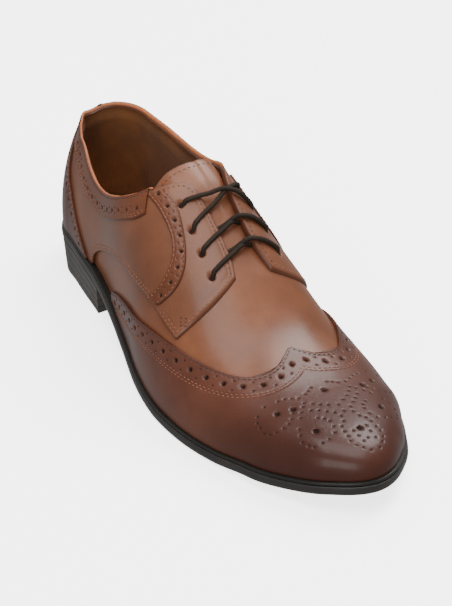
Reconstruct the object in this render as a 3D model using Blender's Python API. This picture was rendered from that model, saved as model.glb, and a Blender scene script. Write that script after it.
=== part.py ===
"""Right shoe of a pair: a leather wing-tip derby, empty and unbent, standing on heel and forefoot.

The shoe is worked out in millimetres along its last and placed in metres.
+X points to the toe, +Y to the inner (medial) side, +Z up, and the origin is the middle of the
footprint on the floor.

Every piece is read from one form. A place on that form has three coordinates:
  side   -1 for the outer (lateral) half, +1 for the inner (medial) half
  along  millimetres round the outline, from the middle of the heel to the tip of the toe
  up     0 at the feather edge, where upper meets welt, and 1 on the ridge of the instep
A fourth value, out, grows the form outwards, so that layers of leather lie on each other.
"""

import bmesh
import bpy
import numpy as np

MM = 0.001

# Sizes in millimetres
SOLE_THICK = 5.0
WELT_THICK = 2.0
WELT_STEP = 0.7
WELT_INSET = 4.0
WALL = 2.0
GAP = 0.3
PANEL_GAP = 0.6
PANEL = 1.2
BAND = 0.8
TONGUE_THICK = 2.2
TONGUE_GAP = 0.7
INSOLE_THICK = 2.5
HEEL_FRONT = 80.0
HEEL_TAPER = 1.5
LACE = 2.5
LACE_OVER = 3.7
THROAT_OVER = 2.2
THROAT_BACK = 7.0
THROAT_HALF = 0.045
TOE_TILT = 0.10
TONGUE_RISE = 2.3
TONGUE_RISE_UP = {-1: 0.69, 1: 0.65}
TONGUE_RISEN_UP = 0.82
TONGUE_ENDS = (168, 182)
TONGUE_EDGE_UP = {-1: 0.62, 1: 0.57}
TONGUE_PLACES = range(137, 203, 5)
FACING_LIFT = {-1: 0.6, 1: 3.0}
FACING_RISE_UP = (0.60, 0.90)
FACING_STARTS = (136, 150)
FACING_ENDS = (184, 200)
FACING_DROP = 0.7
HEEL_TRIM = 0.3
HEEL_STEPS = 14
WELD = 1e-3

# Steps across a large panel, and round half of the sole's outline
PANEL_STEPS = 10
SOLE_STEPS = 36
LACE_STEPS = 10
LACE_SIDES = 6

# Sections of the last. A section stands on the spine at foot and points turn degrees away from
# straight ahead: back round the heel, sideways along the shoe and forwards round the toe.
# reach is from the spine to the sole's edge, under the height of the sole's underside and crown
# the height of the ridge. lean, flank and shoulder shape the side: how far it bulges, how high it
# stays upright and how wide the top is. _l is the outer half and _m the inner half.
SECTION_COLUMNS = (
    "foot", "turn", "reach_l", "reach_m", "under", "crown",
    "lean_l", "lean_m", "flank_l", "flank_m", "shoulder_l", "shoulder_m",
)
SECTION_ROWS = (
    (33.5, 180, 33.5, 33.5, 22.0, 104.0, 3.4, 3.4, 0.74, 0.74, 0.66, 0.66),
    (33.5, 155, 31.6, 31.8, 22.0, 104.0, 2.4, 3.6, 0.66, 0.84, 0.36, 0.76),
    (33.5, 125, 29.8, 30.2, 22.0, 104.0, 2.0, 3.6, 0.64, 0.88, 0.18, 0.78),
    (33.5, 90, 30.4, 31.0, 22.0, 104.0, 2.0, 3.8, 0.64, 0.88, 0.18, 0.78),
    (56.0, 90, 33.2, 31.2, 21.0, 104.5, 2.0, 4.4, 0.70, 0.92, 0.36, 0.86),
    (80.0, 90, 36.0, 28.6, 18.4, 106.5, 1.6, 6.0, 0.82, 0.94, 0.50, 0.96),
    (106.0, 90, 41.0, 27.0, 13.0, 110.5, 2.0, 5.4, 0.84, 0.89, 0.62, 0.90),
    (130.0, 90, 46.6, 29.4, 6.6, 103.0, 2.0, 4.0, 0.80, 0.86, 0.60, 0.82),
    (155.0, 90, 53.0, 37.2, 2.0, 85.5, 2.0, 3.0, 0.76, 0.82, 0.52, 0.78),
    (180.0, 90, 56.4, 46.4, 0.0, 67.5, 2.0, 2.0, 0.74, 0.76, 0.48, 0.66),
    (205.0, 90, 55.4, 51.8, 0.0, 50.0, 2.0, 1.5, 0.76, 0.74, 0.50, 0.54),
    (230.0, 90, 50.2, 51.6, 1.0, 40.0, 1.5, 1.0, 0.82, 0.78, 0.56, 0.54),
    (250.0, 90, 43.8, 47.4, 3.2, 36.0, 1.5, 1.0, 0.85, 0.82, 0.60, 0.57),
    (250.0, 60, 40.4, 43.0, 5.8, 36.0, 1.5, 1.0, 0.85, 0.85, 0.62, 0.60),
    (250.0, 30, 44.8, 46.0, 9.6, 36.0, 1.5, 1.5, 0.85, 0.85, 0.62, 0.62),
    (250.0, 0, 52.0, 52.0, 12.0, 36.0, 1.5, 1.5, 0.85, 0.85, 0.62, 0.62),
)
# Sideways place of the instep's ridge, which lies a little towards the inner side.
RIDGE_ROWS = ((0.0, 0.0), (60.0, 0.0), (120.0, 3.5), (175.0, 3.5), (218.0, 1.6), (250.0, 0.0))

# The collar's edge, from the middle of the heel to the facing, as (along, up).
TOPLINE_ROWS = {
    -1: (
        (0, 0.489), (15, 0.524), (30, 0.522), (42, 0.513), (54, 0.483), (65, 0.438), (77, 0.389),
        (88, 0.351), (99, 0.345), (111, 0.369), (123, 0.425), (131, 0.498), (136, 0.562),
        (141, 0.651),
    ),
    1: (
        (0, 0.489), (15, 0.489), (30, 0.494), (44, 0.482), (58, 0.453), (67, 0.431), (77, 0.412),
        (88, 0.398), (98, 0.399), (109, 0.411), (121, 0.451), (130, 0.52), (136, 0.583),
        (141, 0.661),
    ),
}
TOP = None

# Edges of the leather pieces. A row joins a low place to a high place, each as (along, up),
# and TOP stands for the collar's edge. PAST_TOE is cut back to the tip of the outline.
PAST_TOE = 400
TOE_SHARED = (
    (265, 0, 265, 1.0), (277, 0, 277, 1.0), (289, 0, 289, 1.0), (300, 0, 300, 1.0),
    (312, 0, 312, 1.0), (324, 0, 324, 1.0), (PAST_TOE, 0, PAST_TOE, 1.0),
)
VAMP_SHARED = (
    (198, 0, 188, 1.0), (206, 0, 202, 1.0), (220, 0, 218, 1.0), (236, 0, 236, 1.0), (250, 0, 250, 1.0),
)
HEEL_SHARED = (
    (0, 0, 0, TOP), (15, 0, 15, TOP), (30, 0, 30, TOP), (42, 0, 42, TOP), (54, 0, 54, TOP),
    (65, 0, 65, TOP), (77, 0, 77, TOP), (88, 0, 88, TOP), (99, 0, 99, TOP), (111, 0, 111, TOP),
    (122, 0, 122, TOP), (131, 0, 131, TOP), (137, 0, 136, TOP),
)
SHELL_ROWS = {
    -1: HEEL_SHARED + (
        (143, 0, 140, 0.61), (152, 0, 148, 0.63), (163, 0, 160, 0.64), (172, 0, 171, 0.66),
        (180, 0, 179, 0.71), (187, 0, 184, 0.80), (193, 0, 187, 0.90),
    ) + VAMP_SHARED + TOE_SHARED,
    1: HEEL_SHARED + (
        (143, 0, 141, 0.58), (152, 0, 148, 0.57), (163, 0, 160, 0.56), (172, 0, 171, 0.58),
        (180, 0, 179, 0.64), (187, 0, 184, 0.76), (193, 0, 187, 0.88),
    ) + VAMP_SHARED + TOE_SHARED,
}
QUARTER_ROWS = {
    -1: (
        (0.2, 0, 0.2, TOP), (15, 0, 15, TOP), (30, 0, 30, TOP), (42, 0, 42, TOP), (54, 0, 54, TOP),
        (65, 0, 65, TOP), (76, 0, 77, TOP), (84, 0, 88, TOP), (88, 0.045, 99, TOP),
        (97, 0.09, 111, TOP), (109, 0.128, 122, TOP), (122, 0.167, 131, TOP), (131, 0.195, 136, TOP),
        (138, 0.22, 140, 0.64), (145, 0.24, 144, 0.74), (152, 0.26, 148, 0.85), (160, 0.29, 154, 0.90),
        (168, 0.32, 164, 0.915), (177, 0.345, 176, 0.918), (186, 0.36, 187, 0.91),
        (198, 0.38, 195, 0.885),
    ),
    1: (
        (0.2, 0, 0.2, TOP), (15, 0, 15, TOP), (30, 0, 30, TOP), (42, 0, 42, TOP), (54, 0, 54, TOP),
        (65, 0, 65, TOP), (77, 0, 77, TOP), (88, 0, 88, TOP), (97, 0.02, 98, TOP),
        (103, 0.055, 109, TOP), (111, 0.08, 121, TOP), (120, 0.105, 130, TOP), (129, 0.13, 136, TOP),
        (137, 0.145, 141, 0.67), (144, 0.16, 145, 0.74), (151, 0.17, 150, 0.81), (158, 0.185, 157, 0.865),
        (166, 0.205, 166, 0.895), (174, 0.22, 177, 0.91), (182, 0.235, 187, 0.90),
        (189, 0.25, 196, 0.85),
    ),
}
QUARTER_BOW = {-1: 4.0, 1: 6.0}
CAP_ROWS = {
    -1: (
        (117, 0.004, 118, 0.035), (127, 0, 131, 0.075), (139, 0, 144, 0.115), (150, 0, 157, 0.155),
        (162, 0, 171, 0.215), (174, 0, 186, 0.285), (185, 0, 199, 0.345), (196, 0, 211, 0.41),
        (207, 0, 222, 0.48), (217, 0, 231, 0.55), (225, 0, 237, 0.62), (231, 0, 241, 0.70),
        (236, 0, 242, 0.79), (245, 0, 240, 0.88), (249, 0, 236, 0.95), (252, 0, 234, 1.0),
        (256, 0, 243, 1.0), (260, 0, 253, 1.0),
    ) + TOE_SHARED,
    1: (
        (127, 0.004, 128, 0.022), (134, 0, 137, 0.045), (143, 0, 147, 0.068), (153, 0, 158, 0.095),
        (164, 0, 171, 0.13), (174, 0, 184, 0.18), (185, 0, 197, 0.25), (196, 0, 209, 0.335),
        (207, 0, 220, 0.43), (217, 0, 230, 0.53), (225, 0, 238, 0.62), (231, 0, 242, 0.70),
        (236, 0, 242, 0.79), (245, 0, 240, 0.88), (249, 0, 236, 0.95), (252, 0, 234, 1.0),
        (256, 0, 243, 1.0), (260, 0, 253, 1.0),
    ) + TOE_SHARED,
}
# Between these rows the cap's rows begin to curl: they turn back to the peak only at their end, so
# that they stay inside the hollow curve beside it.
CAP_CURL = (11, 13)
CURL_POWER = 4
COUNTER_ROWS = {
    -1: (
        (0, 0, 0, TOP), (7, 0, 7, TOP), (14, 0, 13, TOP), (21, 0, 20, TOP), (30, 0, 28, 0.455),
        (37, 0, 35, 0.40), (44, 0, 42, 0.325), (51, 0, 49, 0.252), (58, 0, 56, 0.182),
        (65, 0, 62.5, 0.122), (73, 0, 70, 0.06), (79, 0.003, 77, 0.016),
    ),
    1: (
        (0, 0, 0, TOP), (6, 0, 6, TOP), (13, 0, 12, TOP), (22, 0, 19, 0.37), (32, 0, 27, 0.27),
        (42, 0, 37, 0.21), (52, 0, 48, 0.172), (62, 0, 59, 0.13), (72, 0, 70, 0.091),
        (81, 0, 80, 0.055), (88, 0.003, 87, 0.022),
    ),
}
COLLAR_ROWS = {
    -1: (
        (36.5, 0.43, 24, TOP), (43, 0.41, 33, TOP), (50, 0.385, 42, TOP), (57, 0.345, 52, TOP),
        (65, 0.302, 62, TOP), (75, 0.268, 73, TOP), (86, 0.242, 84, TOP), (98, 0.238, 95, TOP),
        (109, 0.256, 106, TOP), (121, 0.30, 117, TOP), (132, 0.37, 127, TOP), (141, 0.45, 134, TOP),
    ),
    1: (
        (26, 0.345, 18, TOP), (34, 0.345, 30, TOP), (44, 0.34, 42, TOP), (56, 0.315, 54, TOP),
        (67, 0.29, 65, TOP), (79, 0.272, 77, TOP), (89, 0.268, 88, TOP), (100, 0.275, 98, TOP),
        (112, 0.30, 109, TOP), (124, 0.345, 120, TOP), (134, 0.41, 129, TOP), (141, 0.466, 133, TOP),
    ),
}
STRIP_ROWS = {
    -1: (
        (141, 0.60, 147, 0.72), (152, 0.63, 156, 0.745), (163, 0.635, 168, 0.71),
        (170, 0.60, 177, 0.655), (174, 0.53, 182, 0.58), (175, 0.45, 183, 0.50),
        (173, 0.37, 181, 0.41), (171, 0.35, 179, 0.375),
    ),
    1: (
        (139, 0.50, 145, 0.60), (152, 0.48, 156, 0.58), (161, 0.46, 167, 0.545),
        (166, 0.42, 174, 0.49), (168, 0.36, 177, 0.42), (167, 0.29, 176, 0.34),
        (164, 0.22, 173, 0.26), (162, 0.20, 171, 0.225),
    ),
}
EYELETS = {
    -1: ((156, 0.769), (168, 0.763), (179, 0.756), (190, 0.750)),
    1: ((155, 0.690), (166, 0.675), (177, 0.670), (188, 0.690)),
}

COLOURS = {
    "leather": (0.26, 0.10, 0.05, 1.0),
    "burnished": (0.16, 0.05, 0.03, 1.0),
    "tan": (0.45, 0.20, 0.08, 1.0),
    "sole": (0.03, 0.03, 0.03, 1.0),
    "cord": (0.06, 0.05, 0.04, 1.0),
}


def clear_scene():
    """Start from an empty scene."""
    for item in list(bpy.data.objects):
        bpy.data.objects.remove(item, do_unlink=True)


def smooth_through(places, values, at):
    """Cubic through table points, level at both ends; inner slopes weigh the two neighbours."""
    step = np.diff(places)
    rise = np.diff(values) / step
    slope = np.zeros(len(values))
    slope[1:-1] = (rise[:-1] * step[1:] + rise[1:] * step[:-1]) / (step[:-1] + step[1:])
    at = np.clip(at, places[0], places[-1])
    cell = np.clip(np.searchsorted(places, at, side="right") - 1, 0, len(step) - 1)
    t = (at - places[cell]) / step[cell]
    start = values[cell] * (1 + 2 * t) * (1 - t) ** 2 + slope[cell] * step[cell] * t * (1 - t) ** 2
    end = values[cell + 1] * t**2 * (3 - 2 * t) + slope[cell + 1] * step[cell] * t**2 * (t - 1)
    return start + end


SECTION = dict(zip(SECTION_COLUMNS, np.array(SECTION_ROWS, float).T))
RIDGE = np.array(RIDGE_ROWS).T


def outline_distances():
    """Distance round the outline at each section, on the mean of the two reaches."""
    mean = (SECTION["reach_l"] + SECTION["reach_m"]) / 2
    straight = np.abs(np.diff(SECTION["foot"]))
    round_part = np.abs(np.diff(np.radians(SECTION["turn"]))) * (mean[1:] + mean[:-1]) / 2
    return np.concatenate([[0.0], np.cumsum(straight + round_part)])


DISTANCE = outline_distances()
TOE = DISTANCE[-1]


def along_table(name, side, along):
    """One column of the section table; paired columns blend by side."""
    if name in SECTION:
        return smooth_through(DISTANCE, SECTION[name], along)
    outer = smooth_through(DISTANCE, SECTION[name + "_l"], along)
    inner = smooth_through(DISTANCE, SECTION[name + "_m"], along)
    return np.where(side < 0, outer, inner)


def spine(side, along):
    """Foot of the section, and the direction in which it points, seen from above."""
    along = np.minimum(along, TOE)
    foot = np.interp(along, DISTANCE, SECTION["foot"])
    turn = np.radians(np.interp(along, DISTANCE, SECTION["turn"]))
    ridge = smooth_through(RIDGE[0], RIDGE[1], foot)
    return foot, ridge, np.cos(turn), side * np.sin(turn)


def reach(side, along):
    """Distance from the spine to the sole's edge."""
    foot, ridge, ahead, sideways = spine(side, along)
    return along_table("reach", side, along) + ridge * side * -np.abs(sideways)


def underside(along):
    """Height of the sole's underside; the tread lies flat on the floor under the ball."""
    return np.maximum(smooth_through(DISTANCE, SECTION["under"], along), 0.0)


def feather_height(along):
    """Top of the welt, where the upper begins."""
    return underside(along) + SOLE_THICK + WELT_THICK + GAP


def form(side, along, up, out):
    """Point on the grown form: a cubic Bezier from the feather edge to the ridge."""
    foot, ridge, ahead, sideways = spine(side, along)
    base = reach(side, along) - WELT_INSET + out
    low = feather_height(along)
    top = along_table("crown", side, along) + out
    shoulder = along_table("shoulder", side, along) * base
    bulge = base + along_table("lean", side, along)
    flank = low + along_table("flank", side, along) * (top - low)
    tilt = -TOE_TILT * np.maximum(ahead, 0) * shoulder
    weight = ((1 - up) ** 3, 3 * up * (1 - up) ** 2, 3 * up**2 * (1 - up), up**3)
    away = weight[0] * base + weight[1] * bulge + weight[2] * shoulder
    height = weight[0] * low + weight[1] * flank + weight[2] * (top + tilt) + weight[3] * top
    return np.stack([foot + ahead * away, ridge + sideways * away, height], axis=-1)


def sole_place(side, along, inwards, trim, height):
    """Point of a sole layer: inwards is 0 at the edge and 1 on the spine."""
    foot, ridge, ahead, sideways = spine(side, along)
    away = (reach(side, along) + trim) * (1 - inwards)
    edge = underside(along)
    middle = np.interp(foot, SECTION["foot"][3:13], SECTION["under"][3:13])
    level = middle + (edge - middle) * (1 - inwards) ** 2
    return np.stack([foot + ahead * away, ridge + sideways * away, level + height], axis=-1)


def footprint_middle():
    """Middle of the sole's outline, which becomes the origin."""
    along = np.linspace(0, TOE, 600)
    edge = np.concatenate([sole_place(side, along, 0 * along, 0, 0) for side in (-1, 1)])
    middle = (edge.min(axis=0) + edge.max(axis=0)) / 2
    return np.array([middle[0], middle[1], 0.0])


MIDDLE = footprint_middle()


def topline(side, along):
    """The collar's edge, as up, at a distance round the outline."""
    places, ups = np.array(TOPLINE_ROWS[side], float).T
    return float(smooth_through(places, ups, along))


def rows_to_grid(side, rows, fine, across, bow=0.0, curl=None):
    """Places on a panel: rows made finer, then filled in a number of steps across each row."""
    rows = [row if row[3] is not TOP else row[:3] + (topline(side, row[2]),) for row in rows]
    table = np.array(rows, float)
    table[:, [0, 2]] = np.minimum(table[:, [0, 2]], TOE)
    index = np.arange(len(table), dtype=float)
    at = np.linspace(0, index[-1], (len(table) - 1) * fine + 1)
    low_along, low_up, high_along, high_up = (np.interp(at, index, column) for column in table.T)
    share = np.linspace(0, 1, across + 1)[None, :]
    power = 1 + CURL_POWER * smooth_step(*curl, at)[:, None] if curl else 1.0
    along = low_along[:, None] + (high_along - low_along)[:, None] * share**power
    up = low_up[:, None] + (high_up - low_up)[:, None] * share
    late = np.clip((at - index[-1] + 4) / 4, 0, 1)[:, None] ** 2
    return along + bow * late * 4 * share * (1 - share), up


def grid_faces(rows, columns, start):
    """Four-sided faces of a grid whose points are numbered row by row from start."""
    corner = start + np.arange(rows * columns).reshape(rows, columns)
    return np.stack([corner[:-1, :-1], corner[1:, :-1], corner[1:, 1:], corner[:-1, 1:]], -1).reshape(-1, 4)


def material(name, colour):
    """Plain Principled material."""
    made = bpy.data.materials.get(name) or bpy.data.materials.new(name)
    made.use_nodes = True
    shader = made.node_tree.nodes["Principled BSDF"]
    shader.inputs["Base Color"].default_value = COLOURS[colour]
    shader.inputs["Roughness"].default_value = 0.45
    return made


def add_object(name, points, faces, colour):
    """Mesh object from points in millimetres, with its faces turned outwards."""
    mesh = bpy.data.meshes.new(name)
    mesh.from_pydata([tuple(point) for point in (points - MIDDLE) * MM], [], faces)
    shape = bmesh.new()
    shape.from_mesh(mesh)
    bmesh.ops.recalc_face_normals(shape, faces=shape.faces)
    shape.to_mesh(mesh)
    shape.free()
    mesh.shade_smooth()
    mesh.set_sharp_from_angle(angle=np.radians(50))
    mesh.materials.append(material(name, colour))
    made = bpy.data.objects.new(name, mesh)
    bpy.context.scene.collection.objects.link(made)
    return made


def layered_solid(name, patches, place, levels, colour):
    """Closed body from one sheet of patches placed at several levels.

    The first and last level keep all faces. The levels between them only shape the rim.
    """
    sheet = []
    faces = []
    start = 0
    for side, along, up in patches:
        sheet.append((side, along, up))
        faces.append(grid_faces(*along.shape, start))
        start += along.size
    levelled = [
        np.concatenate([place(side, along, up, level).reshape(-1, 3) for side, along, up in sheet])
        for level in levels
    ]
    key = np.round(levelled[-1] / WELD).astype(np.int64)
    unique, first, weld = np.unique(key, axis=0, return_index=True, return_inverse=True)
    weld = weld.reshape(-1)
    flip = np.concatenate([np.full(along.size, side) for side, along, up in sheet])
    rings = []
    for quad in np.concatenate(faces):
        ring = [int(weld[corner]) for corner in quad]
        ring = [point for n, point in enumerate(ring) if point != ring[n - 1]]
        if len(set(ring)) > 2:
            rings.append(ring if flip[quad[0]] > 0 else ring[::-1])
    edges = {}
    for ring in rings:
        for n, point in enumerate(ring):
            edges[(ring[n - 1], point)] = True
    rim = [edge for edge in edges if (edge[1], edge[0]) not in edges]
    count = len(unique)
    solid = list(rings)
    solid += [[point + count * (len(levels) - 1) for point in ring[::-1]] for ring in rings]
    for level in range(len(levels) - 1):
        low, high = count * level, count * (level + 1)
        solid += [[b + low, a + low, a + high, b + high] for a, b in rim]
    points = np.concatenate([points[first] for points in levelled])
    used = sorted({point for ring in solid for point in ring})
    renumber = {point: n for n, point in enumerate(used)}
    solid = [[renumber[point] for point in ring] for ring in solid]
    return add_object(name, points[used], solid, colour)


def leather(
    name, rows, levels, colour, fine=1, across=5, bow=None, curl=None, lift=None, sides=(-1, 1)
):
    """A leather piece on the form, between two or more amounts of growth."""
    patches = []
    for side in sides:
        along, up = rows_to_grid(side, rows[side], fine, across, bow[side] if bow else 0.0, curl)
        patches.append((side, along, up))

    def place(side, along, up, level):
        extra = lift(side, along, up) if lift else 0.0
        return form(side, along, up, level + extra)

    return layered_solid(name, patches, place, levels, colour)


def smooth_step(low, high, value):
    """0 below low, 1 above high, smooth between them."""
    share = np.clip((value - low) / (high - low), 0, 1)
    return share * share * (3 - 2 * share)


def facing_lift(side, along, up):
    """The facing stands off the tongue towards its free edge."""
    edge = smooth_step(*FACING_RISE_UP, up)
    stretch = smooth_step(*FACING_STARTS, along) * (1 - FACING_DROP * smooth_step(*FACING_ENDS, along))
    return FACING_LIFT[side] * edge * stretch


def tongue_lift(side, along, up):
    """The tongue lies under the shell at its sides and rises into the throat."""
    inside = smooth_step(TONGUE_RISE_UP[side], TONGUE_RISEN_UP, up)
    stretch = 1 - smooth_step(*TONGUE_ENDS, along)
    return TONGUE_RISE * inside * stretch


def sole_outline(fine):
    """Grid of the sole from edge to spine on both sides."""
    along = np.linspace(0, TOE, fine + 1)
    inwards = np.array([0.0, 0.4, 1.0])
    return [(side, along[:, None] + 0 * inwards, inwards[None, :] + 0 * along[:, None]) for side in (-1, 1)]


def sole_layer(name, levels, colour, fine=SOLE_STEPS):
    """A layer that follows the sole's underside; a level is (trim, height)."""

    def place(side, along, inwards, level):
        return sole_place(side, along, inwards, level[0], level[1])

    return layered_solid(name, sole_outline(fine), place, levels, colour)


def add_outsole():
    """Outsole with rounded lower and upper edges."""
    levels = ((-1.2, 0.0), (0.0, 1.2), (0.0, SOLE_THICK - 0.6), (-0.5, SOLE_THICK))
    return sole_layer("outsole", levels, "sole")


def add_welt():
    """Welt: a flat ring on the outsole, set back from its edge, that ends under the upper's wall."""
    along = np.linspace(0, TOE, SOLE_STEPS + 1)[:, None]
    inner = WELT_INSET + WALL + 0.7
    share = np.array([0.0, 1.0])[None, :]
    patches = [(side, along + 0 * share, share + 0 * along) for side in (-1, 1)]

    def place(side, along, share, level):
        trim = -WELT_STEP - share * (inner - WELT_STEP)
        return sole_place(side, along, 0 * along, trim, SOLE_THICK + level)

    return layered_solid("welt", patches, place, (GAP, WELT_THICK), "sole")


def add_insole():
    """Insole on the outsole, inside the welt and the upper's wall."""
    trim = -(WELT_INSET + WALL + 1.2)
    levels = ((trim, SOLE_THICK + GAP), (trim, SOLE_THICK + WELT_THICK + INSOLE_THICK))
    return sole_layer("insole", levels, "tan")


def add_heel():
    """Heel block: the sole's outline carried down to the floor, cut straight at its front."""
    front = np.interp(HEEL_FRONT, SECTION["foot"][3:], DISTANCE[3:])
    along = np.linspace(0, front, HEEL_STEPS + 1)
    rim = []
    for side in (-1, 1):
        edge = sole_place(side, along, 0 * along, -HEEL_TRIM, -GAP)
        rim.append(edge if side < 0 else edge[::-1])
    top = np.concatenate([rim[1], rim[0][1:]])
    middle = np.array([HEEL_FRONT / 2, 0.0])
    bottom = top.copy()
    bottom[:, 2] = 0.0
    away = bottom[:, :2] - middle
    shrink = 1 - HEEL_TAPER / np.linalg.norm(away, axis=1, keepdims=True)
    bottom[:, :2] = middle + away * shrink
    total = len(top)
    faces = [list(range(total))[::-1], list(range(total, 2 * total))]
    for n in range(total):
        after = (n + 1) % total
        faces.append([n, after, after + total, n + total])
    add_object("heel", np.concatenate([top, bottom]), faces, "sole")


def tube(name, points, colour, sides=LACE_SIDES):
    """Round cord along smooth points, with flat ends."""
    points = np.array(points)
    forward = np.gradient(points, axis=0)
    forward /= np.linalg.norm(forward, axis=1, keepdims=True)
    across = np.cross(forward, [0.0, 0.0, 1.0])
    across /= np.linalg.norm(across, axis=1, keepdims=True)
    over = np.cross(across, forward)
    angle = np.arange(sides) * 2 * np.pi / sides
    circle = np.cos(angle)[None, :, None] * across[:, None] + np.sin(angle)[None, :, None] * over[:, None]
    skin = (points[:, None] + circle * LACE / 2).reshape(-1, 3)
    faces = []
    for row in range(len(points) - 1):
        for n in range(sides):
            a = row * sides + n
            b = row * sides + (n + 1) % sides
            faces.append([a, b, b + sides, a + sides])
    last = (len(points) - 1) * sides
    faces.append(list(range(sides))[::-1])
    faces.append([last + n for n in range(sides)])
    return add_object(name, skin, faces, colour)


def lace_run(start, end, lower_end):
    """Run of lace across the instep, from a hole to another or down into the throat.

    start and end are (along, across), where across is side times distance from the ridge in up.
    """
    share = np.linspace(0, 1, LACE_STEPS + 1)
    along = start[0] + (end[0] - start[0]) * share
    across = start[1] + (end[1] - start[1]) * share
    up = 1 - np.abs(across)
    inner = smooth_step(-0.06, 0.06, across)
    lift = (1 - inner) * facing_lift(-1, along, up) + inner * facing_lift(1, along, up)
    over = LACE_OVER + lift
    if lower_end:
        dip = smooth_step(0, 1, (across - start[1] * 0.35) / (end[1] - start[1] * 0.35))
        over = over + (THROAT_OVER - over) * dip
    side = np.where(across < 0, -1, 1)
    return form(side, along, up, over)


def add_crossing(number, first, second, lower_end):
    """Two runs of lace joined where they cross."""
    name = "lace_crossing_%d" % number
    made = tube(name, lace_run(*first, lower_end), "cord")
    other = tube(name + "_second", lace_run(*second, lower_end), "cord")
    other.hide_render = True
    other.display_type = "WIRE"
    join = made.modifiers.new("join", "BOOLEAN")
    join.operation = "UNION"
    join.solver = "EXACT"
    join.object = other
    return made


def hole(side, number):
    """An eyelet as (along, across)."""
    along, up = EYELETS[side][number - 1]
    return along, side * (1 - up)


def add_laces():
    """Three crossings, which stop clear of facings, tongue and eyelets."""
    add_crossing(1, (hole(-1, 1), hole(1, 2)), (hole(1, 1), hole(-1, 2)), False)
    for number in (3, 4):
        outer = hole(-1, number)
        inner = hole(1, number)
        throat = (outer[0] + inner[0]) / 2 - THROAT_BACK
        first = (outer, (throat, THROAT_HALF))
        second = (inner, (throat, -THROAT_HALF))
        add_crossing(number - 1, first, second, True)


def main():
    """Build the shoe from the floor up."""
    clear_scene()
    add_outsole()
    add_heel()
    add_welt()
    add_insole()
    leather("upper", SHELL_ROWS, (-WALL, 0.0), "leather", across=PANEL_STEPS)
    layer = (PANEL_GAP, PANEL_GAP + PANEL)
    leather("wing_cap", CAP_ROWS, layer, "burnished", across=PANEL_STEPS, curl=CAP_CURL)
    for side, word in ((-1, "outer"), (1, "inner")):
        leather(
            "quarter_" + word, QUARTER_ROWS, layer, "leather",
            across=PANEL_STEPS, bow=QUARTER_BOW, lift=facing_lift, sides=(side,),
        )
    over = (2 * PANEL_GAP + PANEL, 2 * PANEL_GAP + PANEL + BAND)
    leather("counter", COUNTER_ROWS, over, "burnished", across=4)
    for side, word in ((-1, "outer"), (1, "inner")):
        leather("collar_band_" + word, COLLAR_ROWS, over, "leather", across=2, sides=(side,))
        leather("facing_strip_" + word, STRIP_ROWS, over, "leather", across=2, fine=2,
                lift=facing_lift, sides=(side,))
    tongue = {
        side: tuple((along, edge, along, 1.0) for along in TONGUE_PLACES)
        for side, edge in TONGUE_EDGE_UP.items()
    }
    under = (-WALL - TONGUE_GAP - TONGUE_THICK, -WALL - TONGUE_GAP)
    leather("tongue", tongue, under, "leather", across=7, lift=tongue_lift)
    add_laces()


main()
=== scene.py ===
# %% [markdown]
# # A leather brogue, dressed around its frame
# This lesson gives a right shoe its looks: smooth calf leather in overlapping panels, punched holes,
# rows of stitches, a waxed lace, a lining and a black sole. The frame already holds every solid at its
# real size, so nothing here moves or resizes it. Each visible piece is a finer surface over its solid.

import bmesh
import bpy
import numpy as np
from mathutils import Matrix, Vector


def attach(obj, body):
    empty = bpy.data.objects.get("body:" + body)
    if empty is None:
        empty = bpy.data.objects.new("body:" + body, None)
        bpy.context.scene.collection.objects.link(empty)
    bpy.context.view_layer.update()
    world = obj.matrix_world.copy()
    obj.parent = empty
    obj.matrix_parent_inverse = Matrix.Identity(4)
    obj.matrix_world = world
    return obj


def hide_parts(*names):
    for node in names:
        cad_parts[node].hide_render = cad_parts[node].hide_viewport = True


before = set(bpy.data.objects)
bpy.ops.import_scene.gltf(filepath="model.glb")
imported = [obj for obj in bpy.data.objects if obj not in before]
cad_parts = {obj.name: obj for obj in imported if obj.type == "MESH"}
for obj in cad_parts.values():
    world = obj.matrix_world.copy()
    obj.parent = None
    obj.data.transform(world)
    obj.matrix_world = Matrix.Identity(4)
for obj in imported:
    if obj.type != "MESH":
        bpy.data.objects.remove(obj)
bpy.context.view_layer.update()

MM = 0.001
print("nodes in the frame:", ", ".join(sorted(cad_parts)))

# %% [markdown]
# ## The last
# A shoemaker pulls every piece over one wooden last. The same is done here: one formula, with three
# coordinates, gives every point of the upper. `side` is -1 for the outer and +1 for the inner half,
# `along` runs in millimetres round the outline from heel to toe, and `up` goes from 0 at the feather
# edge to 1 on the ridge of the instep. A fourth number, `out`, grows the form, so that layers of
# leather lie on each other. A scan or a sculpt would give a shape too, but not these coordinates, in
# which seams, holes and stitches are easy to place.

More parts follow.
